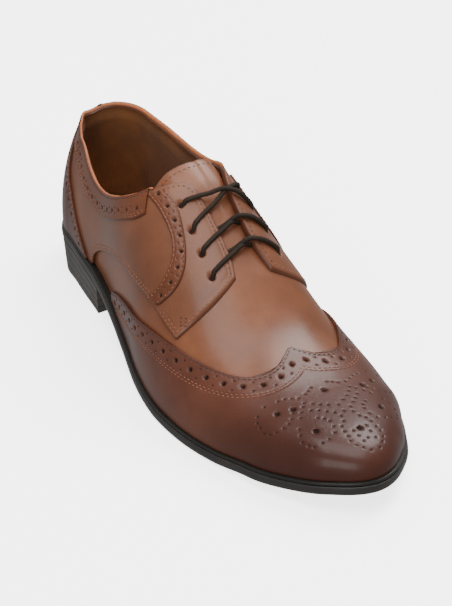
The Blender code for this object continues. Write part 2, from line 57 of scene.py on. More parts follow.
# %% Sizes of the last, in millimetres
SOLE_THICK = 5.0
WELT_THICK = 2.0
WELT_INSET = 4.0
WALL = 2.0
GAP = 0.3
PANEL_TOP = 1.8
BAND_TOP = 3.1
HEEL_FRONT = 80.0
HEEL_TAPER = 1.5
TOE_TILT = 0.10
FACING_LIFT = {-1: 0.6, 1: 3.0}
FACING_EDGE = (0.60, 0.90)
FACING_START = (136, 150)
FACING_FRONT = (184, 200)
FACING_SETTLE = 0.7
TONGUE_DEPTH = 2.7
TONGUE_RISE = 2.3
SECTION_COLUMNS = (
    "foot", "turn", "reach_l", "reach_m", "under", "crown",
    "lean_l", "lean_m", "flank_l", "flank_m", "shoulder_l", "shoulder_m",
)
SECTION_ROWS = (
    (33.5, 180, 33.5, 33.5, 22.0, 104.0, 3.4, 3.4, 0.74, 0.74, 0.66, 0.66),
    (33.5, 155, 31.6, 31.8, 22.0, 104.0, 2.4, 3.6, 0.66, 0.84, 0.36, 0.76),
    (33.5, 125, 29.8, 30.2, 22.0, 104.0, 2.0, 3.6, 0.64, 0.88, 0.18, 0.78),
    (33.5, 90, 30.4, 31.0, 22.0, 104.0, 2.0, 3.8, 0.64, 0.88, 0.18, 0.78),
    (56.0, 90, 33.2, 31.2, 21.0, 104.5, 2.0, 4.4, 0.70, 0.92, 0.36, 0.86),
    (80.0, 90, 36.0, 28.6, 18.4, 106.5, 1.6, 6.0, 0.82, 0.94, 0.50, 0.96),
    (106.0, 90, 41.0, 27.0, 13.0, 110.5, 2.0, 5.4, 0.84, 0.89, 0.62, 0.90),
    (130.0, 90, 46.6, 29.4, 6.6, 103.0, 2.0, 4.0, 0.80, 0.86, 0.60, 0.82),
    (155.0, 90, 53.0, 37.2, 2.0, 85.5, 2.0, 3.0, 0.76, 0.82, 0.52, 0.78),
    (180.0, 90, 56.4, 46.4, 0.0, 67.5, 2.0, 2.0, 0.74, 0.76, 0.48, 0.66),
    (205.0, 90, 55.4, 51.8, 0.0, 50.0, 2.0, 1.5, 0.76, 0.74, 0.50, 0.54),
    (230.0, 90, 50.2, 51.6, 1.0, 40.0, 1.5, 1.0, 0.82, 0.78, 0.56, 0.54),
    (250.0, 90, 43.8, 47.4, 3.2, 36.0, 1.5, 1.0, 0.85, 0.82, 0.60, 0.57),
    (250.0, 60, 40.4, 43.0, 5.8, 36.0, 1.5, 1.0, 0.85, 0.85, 0.62, 0.60),
    (250.0, 30, 44.8, 46.0, 9.6, 36.0, 1.5, 1.5, 0.85, 0.85, 0.62, 0.62),
    (250.0, 0, 52.0, 52.0, 12.0, 36.0, 1.5, 1.5, 0.85, 0.85, 0.62, 0.62),
)
RIDGE_ROWS = ((0.0, 0.0), (60.0, 0.0), (120.0, 3.5), (175.0, 3.5), (218.0, 1.6), (250.0, 0.0))
SECTION = dict(zip(SECTION_COLUMNS, np.array(SECTION_ROWS, float).T))
RIDGE = np.array(RIDGE_ROWS).T


# %% The form as a function of two parameters
def smooth_through(places, values, at):
    """Cubic through table points, level at both ends; inner slopes weigh the two neighbours."""
    places = np.asarray(places, float)
    values = np.asarray(values, float)
    step = np.diff(places)
    rise = np.diff(values) / step
    slope = np.zeros(len(values))
    slope[1:-1] = (rise[:-1] * step[1:] + rise[1:] * step[:-1]) / (step[:-1] + step[1:])
    at = np.clip(at, places[0], places[-1])
    cell = np.clip(np.searchsorted(places, at, side="right") - 1, 0, len(step) - 1)
    t = (at - places[cell]) / step[cell]
    start = values[cell] * (1 + 2 * t) * (1 - t) ** 2 + slope[cell] * step[cell] * t * (1 - t) ** 2
    end = values[cell + 1] * t**2 * (3 - 2 * t) + slope[cell + 1] * step[cell] * t**2 * (t - 1)
    return start + end


def smooth_step(low, high, value):
    """0 below low, 1 above high, smooth between them."""
    share = np.clip((value - low) / (high - low), 0, 1)
    return share * share * (3 - 2 * share)


def outline_distances():
    """Distance round the outline at each section, on the mean of the two reaches."""
    mean = (SECTION["reach_l"] + SECTION["reach_m"]) / 2
    straight = np.abs(np.diff(SECTION["foot"]))
    round_part = np.abs(np.diff(np.radians(SECTION["turn"]))) * (mean[1:] + mean[:-1]) / 2
    return np.concatenate([[0.0], np.cumsum(straight + round_part)])


DISTANCE = outline_distances()
TOE = DISTANCE[-1]
TOE_POLE = DISTANCE[12]


def along_table(name, side, along):
    """One column of the section table; paired columns blend by side."""
    if name in SECTION:
        return smooth_through(DISTANCE, SECTION[name], along)
    outer = smooth_through(DISTANCE, SECTION[name + "_l"], along)
    inner = smooth_through(DISTANCE, SECTION[name + "_m"], along)
    return np.where(side < 0, outer, inner)


def spine(side, along):
    """Foot of the section, and the direction in which it points, seen from above."""
    along = np.minimum(along, TOE)
    foot = np.interp(along, DISTANCE, SECTION["foot"])
    turn = np.radians(np.interp(along, DISTANCE, SECTION["turn"]))
    ridge = smooth_through(RIDGE[0], RIDGE[1], foot)
    return foot, ridge, np.cos(turn), side * np.sin(turn)


def reach(side, along):
    """Distance from the spine to the sole's edge."""
    foot, ridge, ahead, sideways = spine(side, along)
    return along_table("reach", side, along) + ridge * side * -np.abs(sideways)


def underside(along):
    """Height of the sole's underside; the tread lies flat on the floor under the ball."""
    return np.maximum(smooth_through(DISTANCE, SECTION["under"], along), 0.0)


def form(side, along, up, out):
    """Point on the grown form: a cubic Bezier from the feather edge to the ridge."""
    foot, ridge, ahead, sideways = spine(side, along)
    base = reach(side, along) - WELT_INSET + out
    low = underside(along) + SOLE_THICK + WELT_THICK + GAP
    top = along_table("crown", side, np.minimum(along, TOE_POLE)) + out
    shoulder = along_table("shoulder", side, along) * base
    bulge = base + along_table("lean", side, along)
    flank = low + along_table("flank", side, along) * (top - low)
    tilt = -TOE_TILT * np.maximum(ahead, 0) * shoulder
    weight = ((1 - up) ** 3, 3 * up * (1 - up) ** 2, 3 * up**2 * (1 - up), up**3)
    away = weight[0] * base + weight[1] * bulge + weight[2] * shoulder
    height = weight[0] * low + weight[1] * flank + weight[2] * (top + tilt) + weight[3] * top
    return np.stack([foot + ahead * away, ridge + sideways * away, height], axis=-1)


def growth(side, along, up, out):
    """Way in which the form grows by one millimetre: outwards at every point."""
    return form(side, along, up, out + 1.0) - form(side, along, up, out)


def facing_lift(side, along, up):
    """The facing stands off the tongue towards its free edge."""
    edge = smooth_step(*FACING_EDGE, up)
    stretch = smooth_step(*FACING_START, along) * (1 - FACING_SETTLE * smooth_step(*FACING_FRONT, along))
    return FACING_LIFT[side] * edge * stretch


def no_lift(side, along, up):
    """A panel that lies flat on the form."""
    return 0.0 * along


def sole_place(side, along, inwards, trim, height):
    """Point of a sole layer: inwards is 0 at the edge and 1 on the spine."""
    foot, ridge, ahead, sideways = spine(side, along)
    away = (reach(side, along) + trim) * (1 - inwards)
    edge = underside(along)
    middle = np.interp(foot, SECTION["foot"][3:13], SECTION["under"][3:13])
    level = middle + (edge - middle) * (1 - inwards) ** 2
    return np.stack([foot + ahead * away, ridge + sideways * away, level + height], axis=-1)


def footprint_middle():
    """Middle of the sole's outline, which is the frame's origin."""
    along = np.linspace(0, TOE, 600)
    edge = np.concatenate([sole_place(side, along, 0 * along, 0, 0) for side in (-1, 1)])
    middle = (edge.min(axis=0) + edge.max(axis=0)) / 2
    return np.array([middle[0], middle[1], 0.0])


MIDDLE = footprint_middle()
print("half outline: %.1f mm, origin at %.1f, %.1f mm from the heel" % (TOE, MIDDLE[0], MIDDLE[1]))

# %% [markdown]
# ## The paper patterns
# A clicker cuts each panel round a paper pattern. Here a pattern is a short table: each row joins a
# place on the panel's lower edge to a place on its upper edge. A smooth curve runs through the rows.

# %% Pattern tables
TOPLINE_ROWS = {
    -1: (
        (0, 0.489), (15, 0.524), (30, 0.522), (42, 0.513), (54, 0.483), (65, 0.438), (77, 0.389),
        (88, 0.351), (99, 0.345), (111, 0.369), (123, 0.425), (131, 0.498), (136, 0.562), (141, 0.651),
    ),
    1: (
        (0, 0.489), (15, 0.489), (30, 0.494), (44, 0.482), (58, 0.453), (67, 0.431), (77, 0.412),
        (88, 0.398), (98, 0.399), (109, 0.411), (121, 0.451), (130, 0.52), (136, 0.583), (141, 0.661),
    ),
}
TOP = None
TOE_SHARED = (
    (265, 0, 265, 1.0), (277, 0, 277, 1.0), (289, 0, 289, 1.0), (300, 0, 300, 1.0),
    (312, 0, 312, 1.0), (324, 0, 324, 1.0), (TOE, 0, TOE, 1.0),
)
VAMP_SHARED = (
    (198, 0, 188, 1.0), (206, 0, 202, 1.0), (220, 0, 218, 1.0), (236, 0, 236, 1.0), (250, 0, 250, 1.0),
)
HEEL_SHARED = (
    (0, 0, 0, TOP), (15, 0, 15, TOP), (30, 0, 30, TOP), (42, 0, 42, TOP), (54, 0, 54, TOP),
    (65, 0, 65, TOP), (77, 0, 77, TOP), (88, 0, 88, TOP), (99, 0, 99, TOP), (111, 0, 111, TOP),
    (122, 0, 122, TOP), (131, 0, 131, TOP), (137, 0, 136, TOP),
)
SHELL_ROWS = {
    -1: HEEL_SHARED + (
        (143, 0, 140, 0.61), (152, 0, 148, 0.63), (163, 0, 160, 0.64), (172, 0, 171, 0.66),
        (180, 0, 179, 0.71), (187, 0, 184, 0.80), (193, 0, 187, 0.90),
    ) + VAMP_SHARED + TOE_SHARED,
    1: HEEL_SHARED + (
        (143, 0, 141, 0.58), (152, 0, 148, 0.57), (163, 0, 160, 0.56), (172, 0, 171, 0.58),
        (180, 0, 179, 0.64), (187, 0, 184, 0.76), (193, 0, 187, 0.88),
    ) + VAMP_SHARED + TOE_SHARED,
}
QUARTER_ROWS = {
    -1: (
        (0.2, 0, 0.2, TOP), (15, 0, 15, TOP), (30, 0, 30, TOP), (42, 0, 42, TOP), (54, 0, 54, TOP),
        (65, 0, 65, TOP), (76, 0, 77, TOP), (84, 0, 88, TOP), (88, 0.045, 99, TOP),
        (97, 0.09, 111, TOP), (109, 0.128, 122, TOP), (122, 0.167, 131, TOP), (131, 0.195, 136, TOP),
        (138, 0.22, 140, 0.64), (145, 0.24, 144, 0.74), (152, 0.26, 148, 0.85), (160, 0.29, 154, 0.90),
        (168, 0.32, 164, 0.915), (177, 0.345, 176, 0.918), (186, 0.36, 187, 0.91),
        (198, 0.38, 195, 0.885),
    ),
    1: (
        (0.2, 0, 0.2, TOP), (15, 0, 15, TOP), (30, 0, 30, TOP), (42, 0, 42, TOP), (54, 0, 54, TOP),
        (65, 0, 65, TOP), (77, 0, 77, TOP), (88, 0, 88, TOP), (97, 0.02, 98, TOP),
        (103, 0.055, 109, TOP), (111, 0.08, 121, TOP), (120, 0.105, 130, TOP), (129, 0.13, 136, TOP),
        (137, 0.145, 141, 0.67), (144, 0.16, 145, 0.74), (151, 0.17, 150, 0.81), (158, 0.185, 157, 0.865),
        (166, 0.205, 166, 0.895), (174, 0.22, 177, 0.91), (182, 0.235, 187, 0.90),
        (189, 0.25, 196, 0.85),
    ),
}
QUARTER_BOW = {-1: 4.0, 1: 6.0}
CAP_ROWS = {
    -1: (
        (117, 0.004, 118, 0.035), (127, 0, 131, 0.075), (139, 0, 144, 0.115), (150, 0, 157, 0.155),
        (162, 0, 171, 0.215), (174, 0, 186, 0.285), (185, 0, 199, 0.345), (196, 0, 211, 0.41),
        (207, 0, 222, 0.48), (217, 0, 231, 0.55), (225, 0, 237, 0.62), (231, 0, 241, 0.70),
        (236, 0, 242, 0.79), (245, 0, 240, 0.88), (249, 0, 236, 0.95), (252, 0, 234, 1.0),
        (256, 0, 243, 1.0), (260, 0, 253, 1.0),
    ) + TOE_SHARED,
    1: (
        (127, 0.004, 128, 0.022), (134, 0, 137, 0.045), (143, 0, 147, 0.068), (153, 0, 158, 0.095),
        (164, 0, 171, 0.13), (174, 0, 184, 0.18), (185, 0, 197, 0.25), (196, 0, 209, 0.335),
        (207, 0, 220, 0.43), (217, 0, 230, 0.53), (225, 0, 238, 0.62), (231, 0, 242, 0.70),
        (236, 0, 242, 0.79), (245, 0, 240, 0.88), (249, 0, 236, 0.95), (252, 0, 234, 1.0),
        (256, 0, 243, 1.0), (260, 0, 253, 1.0),
    ) + TOE_SHARED,
}
COUNTER_ROWS = {
    -1: (
        (0, 0, 0, TOP), (7, 0, 7, TOP), (14, 0, 13, TOP), (21, 0, 20, TOP), (30, 0, 28, 0.455),
        (37, 0, 35, 0.40), (44, 0, 42, 0.325), (51, 0, 49, 0.252), (58, 0, 56, 0.182),
        (65, 0, 62.5, 0.122), (73, 0, 70, 0.06), (79, 0.003, 77, 0.016),
    ),
    1: (
        (0, 0, 0, TOP), (6, 0, 6, TOP), (13, 0, 12, TOP), (22, 0, 19, 0.37), (32, 0, 27, 0.27),
        (42, 0, 37, 0.21), (52, 0, 48, 0.172), (62, 0, 59, 0.13), (72, 0, 70, 0.091),
        (81, 0, 80, 0.055), (88, 0.003, 87, 0.022),
    ),
}
COLLAR_ROWS = {
    -1: (
        (36.5, 0.43, 24, TOP), (43, 0.41, 33, TOP), (50, 0.385, 42, TOP), (57, 0.345, 52, TOP),
        (65, 0.302, 62, TOP), (75, 0.268, 73, TOP), (86, 0.242, 84, TOP), (98, 0.238, 95, TOP),
        (109, 0.256, 106, TOP), (121, 0.30, 117, TOP), (132, 0.37, 127, TOP), (141, 0.45, 134, TOP),
        (146, 0.53, 139, TOP),
    ),
    1: (
        (26, 0.345, 18, TOP), (34, 0.345, 30, TOP), (44, 0.34, 42, TOP), (56, 0.315, 54, TOP),
        (67, 0.29, 65, TOP), (79, 0.272, 77, TOP), (89, 0.268, 88, TOP), (100, 0.275, 98, TOP),
        (112, 0.30, 109, TOP), (124, 0.345, 120, TOP), (134, 0.41, 129, TOP), (141, 0.466, 133, TOP),
    ),
}
STRIP_ROWS = {
    -1: (
        (141, 0.60, 147, 0.72), (152, 0.63, 156, 0.745), (163, 0.635, 168, 0.71),
        (170, 0.60, 177, 0.655), (174, 0.53, 182, 0.58), (175, 0.45, 183, 0.50),
        (173, 0.37, 181, 0.41), (171, 0.35, 179, 0.375),
    ),
    1: (
        (139, 0.50, 145, 0.60), (152, 0.48, 156, 0.58), (161, 0.46, 167, 0.545),
        (166, 0.42, 174, 0.49), (168, 0.36, 177, 0.42), (167, 0.29, 176, 0.34),
        (164, 0.22, 173, 0.26), (162, 0.20, 171, 0.225),
    ),
}
EYELETS = {
    -1: ((156, 0.769), (168, 0.763), (179, 0.756), (190, 0.750)),
    1: ((155, 0.690), (166, 0.675), (177, 0.670), (188, 0.690)),
}


# %% From a pattern to a fine grid
FEATHER_LIMIT = 0.004
RIDGE_LIMIT = 0.9995
STEPS_A_ROW = 60
CURL_POWER = 4
BOW_ROWS = 4


def topline(side, along):
    """The collar's edge, as up, at a distance round the outline."""
    places, ups = np.array(TOPLINE_ROWS[side], float).T
    return smooth_through(places, ups, along)


def pattern_curves(side, rows, at):
    """Lower and upper edge of a pattern: smooth curves through its rows, at places 0 to rows - 1."""
    filled = [row if row[3] is not TOP else row[:3] + (float(topline(side, row[2])),) for row in rows]
    table = np.array(filled, float).T
    index = np.arange(table.shape[1], dtype=float)
    return [smooth_through(index, column, at) for column in table]


def even_places(side, rows, spacing):
    """Places along the rows at which the middle of the panel has equal steps in millimetres."""
    fine = np.linspace(0, len(rows) - 1, STEPS_A_ROW * len(rows))
    low_along, low_up, high_along, high_up = pattern_curves(side, rows, fine)
    middle = form(side, (low_along + high_along) / 2, (low_up + high_up) / 2, PANEL_TOP)
    upper = form(side, high_along, np.clip(high_up, 0, 1), PANEL_TOP)
    step = np.maximum(
        np.linalg.norm(np.diff(middle, axis=0), axis=1), np.linalg.norm(np.diff(upper, axis=0), axis=1)
    )
    length = np.concatenate([[0.0], np.cumsum(step + 1e-6)])
    count = max(int(round(length[-1] / spacing)), 4)
    return np.interp(np.linspace(0, length[-1], count + 1), length, fine)


def pattern_grid(side, rows, spacing, share, bow=0.0, curl=None):
    """Grid of (along, up): even rows, filled by the given shares from the low to the high edge.

    bow is how far the last rows bulge forwards, in mm. curl is a pair of rows: between them the rows
    begin to turn towards their high place only at its end, with share to the power 1 + CURL_POWER.
    """
    places = even_places(side, rows, spacing)
    low_along, low_up, high_along, high_up = pattern_curves(side, rows, places)
    share = np.asarray(share)[None, :]
    power = 1.0 if curl is None else 1 + CURL_POWER * smooth_step(*curl, places)[:, None]
    along = low_along[:, None] + (high_along - low_along)[:, None] * share**power
    up = low_up[:, None] + (high_up - low_up)[:, None] * share
    late = np.clip((places - (len(rows) - 1) + BOW_ROWS) / BOW_ROWS, 0, 1)[:, None] ** 2
    along = along + bow * late * 4 * share * (1 - share)
    return np.clip(along, 0, TOE), np.clip(up, 0, 1)


print("wing cap pattern: %d rows a side" % len(CAP_ROWS[-1]))


# %% [markdown]
# ## Walking over the leather
# A seam row lies at a constant distance from the edge of its panel, however the last curves. The
# walk below goes from an edge over the surface, at right angles to that edge, in small steps.

# %% Helpers on the surface
STEP_ALONG = 0.5
STEP_UP = 0.002
WALK_ALONG = 3.0
WALK_UP = 0.1
MARGIN_ALONG = 5.0
MARGIN_UP = 0.05


def surface(side, along, up, out, lift):
    """Point of a panel's face, with the panel's own lift."""
    return form(side, along, up, out + lift(side, along, up))


def slopes(side, along, up, out, lift):
    """Change of the point with along and with up, and the outward normal."""
    here = surface(side, along, up, out, lift)
    after = surface(side, along + STEP_ALONG, up, out, lift)
    by_along = after - surface(side, along - STEP_ALONG, up, out, lift)
    above = np.minimum(up + STEP_UP, 1.0)
    below = up - STEP_UP
    by_up = surface(side, along, above, out, lift) - surface(side, along, below, out, lift)
    by_up = by_up / (above - below)[..., None]
    normal = np.cross(by_along, by_up)
    normal *= np.sign(np.sum(normal * growth(side, along, up, out), axis=-1, keepdims=True))
    return here, by_along, by_up, normal / (np.linalg.norm(normal, axis=-1, keepdims=True) + 1e-9)


def walk(side, along, up, distance, towards, out=PANEL_TOP, lift=no_lift, steps=6):
    """Places at a distance from a curve over the surface; towards is a change of (along, up) inwards.

    Each step goes at right angles to the curve, and least squares turn it into (along, up).
    """
    along = np.array(along, float)
    up = np.array(up, float)
    for _ in range(steps):
        here, by_along, by_up, normal = slopes(side, along, up, out, lift)
        tangent = np.gradient(here, axis=0)
        tangent /= np.linalg.norm(tangent, axis=1, keepdims=True) + 1e-12
        across = np.cross(normal, tangent)
        inwards = np.sign(np.sum(across * (by_along * towards[0] + by_up * towards[1])))
        across = across * inwards * (distance / steps)
        aa = np.sum(by_along * by_along, axis=1)
        au = np.sum(by_along * by_up, axis=1)
        uu = np.sum(by_up * by_up, axis=1)
        ra = np.sum(by_along * across, axis=1)
        ru = np.sum(by_up * across, axis=1)
        det = aa * uu - au * au + 1e-6
        along = along + np.clip((ra * uu - ru * au) / det, -WALK_ALONG, WALK_ALONG)
        up = up + np.clip((ru * aa - ra * au) / det, -WALK_UP, WALK_UP)
        along = np.clip(along, -MARGIN_ALONG, TOE + MARGIN_ALONG)
        up = np.clip(up, -MARGIN_UP, 1 + MARGIN_UP)
    return along, up


def nearest(points, targets, chunk=4000):
    """Distance from each point to the closest target."""
    flat = points.reshape(-1, 3).astype(np.float32)
    goal = targets.reshape(-1, 3).astype(np.float32)
    best = np.empty(len(flat), np.float32)
    for start in range(0, len(flat), chunk):
        part = flat[start:start + chunk]
        square = ((part[:, None, :] - goal[None, :, :]) ** 2).sum(axis=2)
        best[start:start + chunk] = np.sqrt(square.min(axis=1))
    return best.reshape(points.shape[:-1])


def resample(points, pitch):
    """Places, as fractional indices, at equal steps along a polyline."""
    step = np.linalg.norm(np.diff(points, axis=0), axis=1)
    length = np.concatenate([[0.0], np.cumsum(step)])
    count = max(int(length[-1] / pitch), 1)
    wanted = (np.arange(count) + 0.5) * length[-1] / count
    return np.interp(wanted, length, np.arange(len(points)))


def pick(values, places):
    """Values of an array read between its rows."""
    index = np.arange(len(values))
    if values.ndim == 1:
        return np.interp(places, index, values)
    return np.stack([np.interp(places, index, column) for column in values.T], axis=-1)


# %% [markdown]
# ## Colours and finishes
# The upper is calf leather: smooth, dyed through, waxed and brushed, so it has a soft wide gloss under
# a thin clear one. Toe and heel are burnished darker by hand. The lining is tan suede, the raw cut
# edges are dyed and get painted shade where each panel steps down, the floors of the punched holes are
# painted near-black shade, and sole and heel are satin rubber, nearly black.

# %% Material helpers
def srgb(code, alpha=1.0):
    """Linear colour of an sRGB hex code."""
    value = np.array([int(code[k:k + 2], 16) for k in (1, 3, 5)]) / 255
    linear = np.where(value <= 0.04045, value / 12.92, ((value + 0.055) / 1.055) ** 2.4)
    return (*[float(part) for part in linear], alpha)


def add_node(tree, kind, settings=None, links=None, stops=()):
    """Add a node: its own or its sockets' values, links as socket to source, a ramp's (place, colour)."""
    node = tree.nodes.new(kind)
    for name, value in (settings or {}).items():
        if isinstance(name, str) and hasattr(node, name):
            setattr(node, name, value)
        else:
            node.inputs[name].default_value = value
    for name, source in (links or {}).items():
        tree.links.new(source, node.inputs[name])
    while stops and len(node.color_ramp.elements) < len(stops):
        node.color_ramp.elements.new(0.5)
    for number, (place, colour) in enumerate(stops):
        node.color_ramp.elements[number].position = place
        node.color_ramp.elements[number].color = colour
    return node


def new_material(name, **settings):
    """Principled material; settings are its sockets, with underscores for spaces."""
    made = bpy.data.materials.new(name)
    made.use_nodes = True
    shader = made.node_tree.nodes["Principled BSDF"]
    for socket, value in settings.items():
        shader.inputs[socket.replace("_", " ")].default_value = value
    return made, made.node_tree, shader


# %% Calf leather
CLOUD_MM = 45.5
WAVE_MM = 14.3
FINE_MM = 1.11
GRAIN_MM = 0.9
COAT = 0.06
# Darker free edges: partly real edge dye, partly painted shade at the step down to the layer below
EDGE_DYE_AND_SHADE = ("worn", "#3a1c12", 0.75)
# Hole floors painted near-black: painted shade in the punched holes and eyelets
HOLE_PAINTED_SHADE = ("punched", "#180a06", 0.94)


def calf_leather(name, light, base, dark, burnish, gloss=0.34):
    """Waxed calf with slow clouds, burnished along X by rows of (from, to, shade, amount) in mm."""
    made, tree, shader = new_material(
        name, Roughness=gloss, Coat_Weight=COAT, Coat_Roughness=0.14, IOR=1.45, Specular_IOR_Level=0.22,
    )
    place = add_node(tree, "ShaderNodeTexCoord").outputs["Object"]
    settings = {"Scale": 1 / (CLOUD_MM * MM), "Detail": 4.0, "Roughness": 0.55}
    cloud = add_node(tree, "ShaderNodeTexNoise", settings, {"Vector": place}).outputs["Fac"]
    stops = ((0.30, srgb(dark)), (0.52, srgb(base)), (0.74, srgb(light)))
    colour = add_node(tree, "ShaderNodeValToRGB", {}, {"Fac": cloud}, stops).outputs["Color"]
    # Burnish follows X, and the clouds make its border wander by a few millimetres
    axes = add_node(tree, "ShaderNodeSeparateXYZ", {}, {"Vector": place})
    wobble = add_node(tree, "ShaderNodeMath", {"operation": "MULTIPLY_ADD", 1: 0.03, 2: -0.015}, {0: cloud})
    shifted = add_node(tree, "ShaderNodeMath", {"operation": "ADD"},
                       {0: axes.outputs["X"], 1: wobble.outputs[0]})
    layers = []
    for low, high, shade, amount in burnish:
        settings = {"interpolation_type": "SMOOTHSTEP", "From Min": low * MM, "From Max": high * MM,
                    "To Min": 0.0, "To Max": amount}
        burnt = add_node(tree, "ShaderNodeMapRange", settings, {"Value": shifted.outputs[0]})
        layers.append((shade, burnt.outputs["Result"]))
    # Painted shade over the clouds: the edge band (with the edge dye) and the floors of the holes
    for attribute, shade, amount in (EDGE_DYE_AND_SHADE, HOLE_PAINTED_SHADE):
        seen = add_node(tree, "ShaderNodeAttribute", {"attribute_name": attribute})
        scaled = add_node(tree, "ShaderNodeMath", {"operation": "MULTIPLY", 1: amount},
                          {0: seen.outputs["Fac"]})
        layers.append((shade, scaled.outputs[0]))
    for shade, factor in layers:
        mix = add_node(tree, "ShaderNodeMix", {"data_type": "RGBA", "B": srgb(shade)},
                       {"Factor": factor, "A": colour})
        colour = mix.outputs["Result"]
    tree.links.new(colour, shader.inputs["Base Color"])
    # Three bumps on each other: pores, fine grain, and the slow waves of stretched leather
    pores = add_node(tree, "ShaderNodeTexVoronoi", {"feature": "F1", "Scale": 1 / (GRAIN_MM * MM)},
                     {"Vector": place})
    fine = add_node(tree, "ShaderNodeTexNoise", {"Scale": 1 / (FINE_MM * MM), "Detail": 3.0},
                    {"Vector": place})
    wave = add_node(tree, "ShaderNodeTexNoise", {"Scale": 1 / (WAVE_MM * MM), "Detail": 2.0},
                    {"Vector": place})
    links = {}
    for strength, distance, height in ((0.10, 0.0003, pores.outputs["Distance"]),
                                       (0.08, 0.0002, fine.outputs["Fac"]),
                                       (0.05, 0.0006, wave.outputs["Fac"])):
        links["Height"] = height
        bump = add_node(tree, "ShaderNodeBump", {"Strength": strength, "Distance": distance}, links)
        links["Normal"] = bump.outputs["Normal"]
    tree.links.new(links["Normal"], shader.inputs["Normal"])
    # A punched hole has no wax: it is matt and has no clear coat
    settings = {"From Min": 0.3, "From Max": 0.7, "To Min": gloss - 0.05, "To Max": gloss + 0.09}
    rough = add_node(tree, "ShaderNodeMapRange", settings, {"Value": cloud})
    hole = add_node(tree, "ShaderNodeAttribute", {"attribute_name": "punched"}).outputs["Fac"]
    matt = add_node(tree, "ShaderNodeMath", {"operation": "MULTIPLY_ADD", 1: 0.6, "use_clamp": True},
                    {0: hole, 2: rough.outputs["Result"]})
    tree.links.new(matt.outputs[0], shader.inputs["Roughness"])
    bare = add_node(tree, "ShaderNodeMath", {"operation": "MULTIPLY_ADD", 1: -COAT, 2: COAT}, {0: hole})
    tree.links.new(bare.outputs[0], shader.inputs["Coat Weight"])
    return made


TOE_BURNISH = ((60, 118, "#2c110a", 0.75),)
HEEL_BURNISH = ((-105, -150, "#2c110a", 0.6),)
vamp_calf = calf_leather("calf_vamp", "#794c33", "#673d28", "#55311f", ())
quarter_calf = calf_leather("calf_quarter", "#734932", "#623b28", "#50301f", HEEL_BURNISH)
cap_calf = calf_leather("calf_wing_cap", "#593325", "#4a291d", "#3b1f16", TOE_BURNISH)
counter_calf = calf_leather("calf_counter", "#532f21", "#452519", "#381d13", HEEL_BURNISH)
band_calf = calf_leather("calf_band", "#623823", "#542e1c", "#452515", HEEL_BURNISH)
print("calf leathers made")


# %% Lining, edges, thread, lace and rubber
MOTTLE_MM = 16.7


def plain_surface(name, code, roughness, scale, strength, variety=0.12, **settings):
    """A surface with a little mottle and a fine bump of the given scale in millimetres."""
    made, tree, shader = new_material(name, Roughness=roughness, **settings)
    place = add_node(tree, "ShaderNodeTexCoord").outputs["Object"]
    mottle = add_node(tree, "ShaderNodeTexNoise", {"Scale": 1 / (MOTTLE_MM * MM), "Detail": 5.0},
                      {"Vector": place})
    colour = np.array(srgb(code)[:3])
    darker = (*[float(v) for v in colour * (1 - 2 * variety)], 1.0)
    lighter = (*[float(v) for v in colour * (1 + 2 * variety)], 1.0)
    tone = add_node(tree, "ShaderNodeValToRGB", {}, {"Fac": mottle.outputs["Fac"]},
                    ((0.3, darker), (0.7, lighter)))
    tree.links.new(tone.outputs["Color"], shader.inputs["Base Color"])
    grain = add_node(tree, "ShaderNodeTexNoise", {"Scale": 1 / (scale * MM), "Detail": 3.0},
                     {"Vector": place})
    bump = add_node(tree, "ShaderNodeBump", {"Strength": strength, "Distance": scale * MM * 0.4},
                    {"Height": grain.outputs["Fac"]})
    tree.links.new(bump.outputs["Normal"], shader.inputs["Normal"])
    return made


# Suede has a short nap: matt, with a faint sheen at a flat angle
lining_suede = plain_surface("suede_lining", "#56300a", 0.92, 0.6, 0.35, Sheen_Weight=0.05,
                             Sheen_Roughness=0.5)
# Undyed vegetable-tanned leather: light tan and dry
insole_leather = plain_surface("leather_insole", "#d08a45", 0.7, 0.8, 0.2)
# A raw cut shows the leather's fibres: matt, tan where it is bare and dark where it is dyed
cut_edge = plain_surface("leather_cut_edge", "#93522c", 0.7, 0.5, 0.3)
dark_edge = plain_surface("leather_dark_edge", "#2a130c", 0.55, 0.5, 0.3)
# Waxed polyester thread: a low shine on a fine twist
brown_thread = plain_surface("waxed_thread_brown", "#2c150c", 0.5, 0.4, 0.3)
tan_thread = plain_surface("waxed_thread_tan", "#74432b", 0.5, 0.4, 0.3)
# Moulded rubber, buffed: satin, with a very fine tooth; the welt is leather under edge ink
sole_rubber = plain_surface("rubber_sole", "#262321", 0.45, 1.2, 0.10, Specular_IOR_Level=0.25)
heel_rubber = plain_surface("rubber_heel", "#322e2b", 0.5, 1.2, 0.12, Specular_IOR_Level=0.25)
welt_ink = plain_surface("leather_welt_inked", "#191613", 0.42, 0.8, 0.15, Specular_IOR_Level=0.25)
print("lining, edges, thread and rubber made")


# %% [markdown]
# ## From grids to pieces
# Every piece of leather is a grid of points. Grids that meet on the ridge, the heel seam or the toe
# are welded, so that the surface is smooth across them.

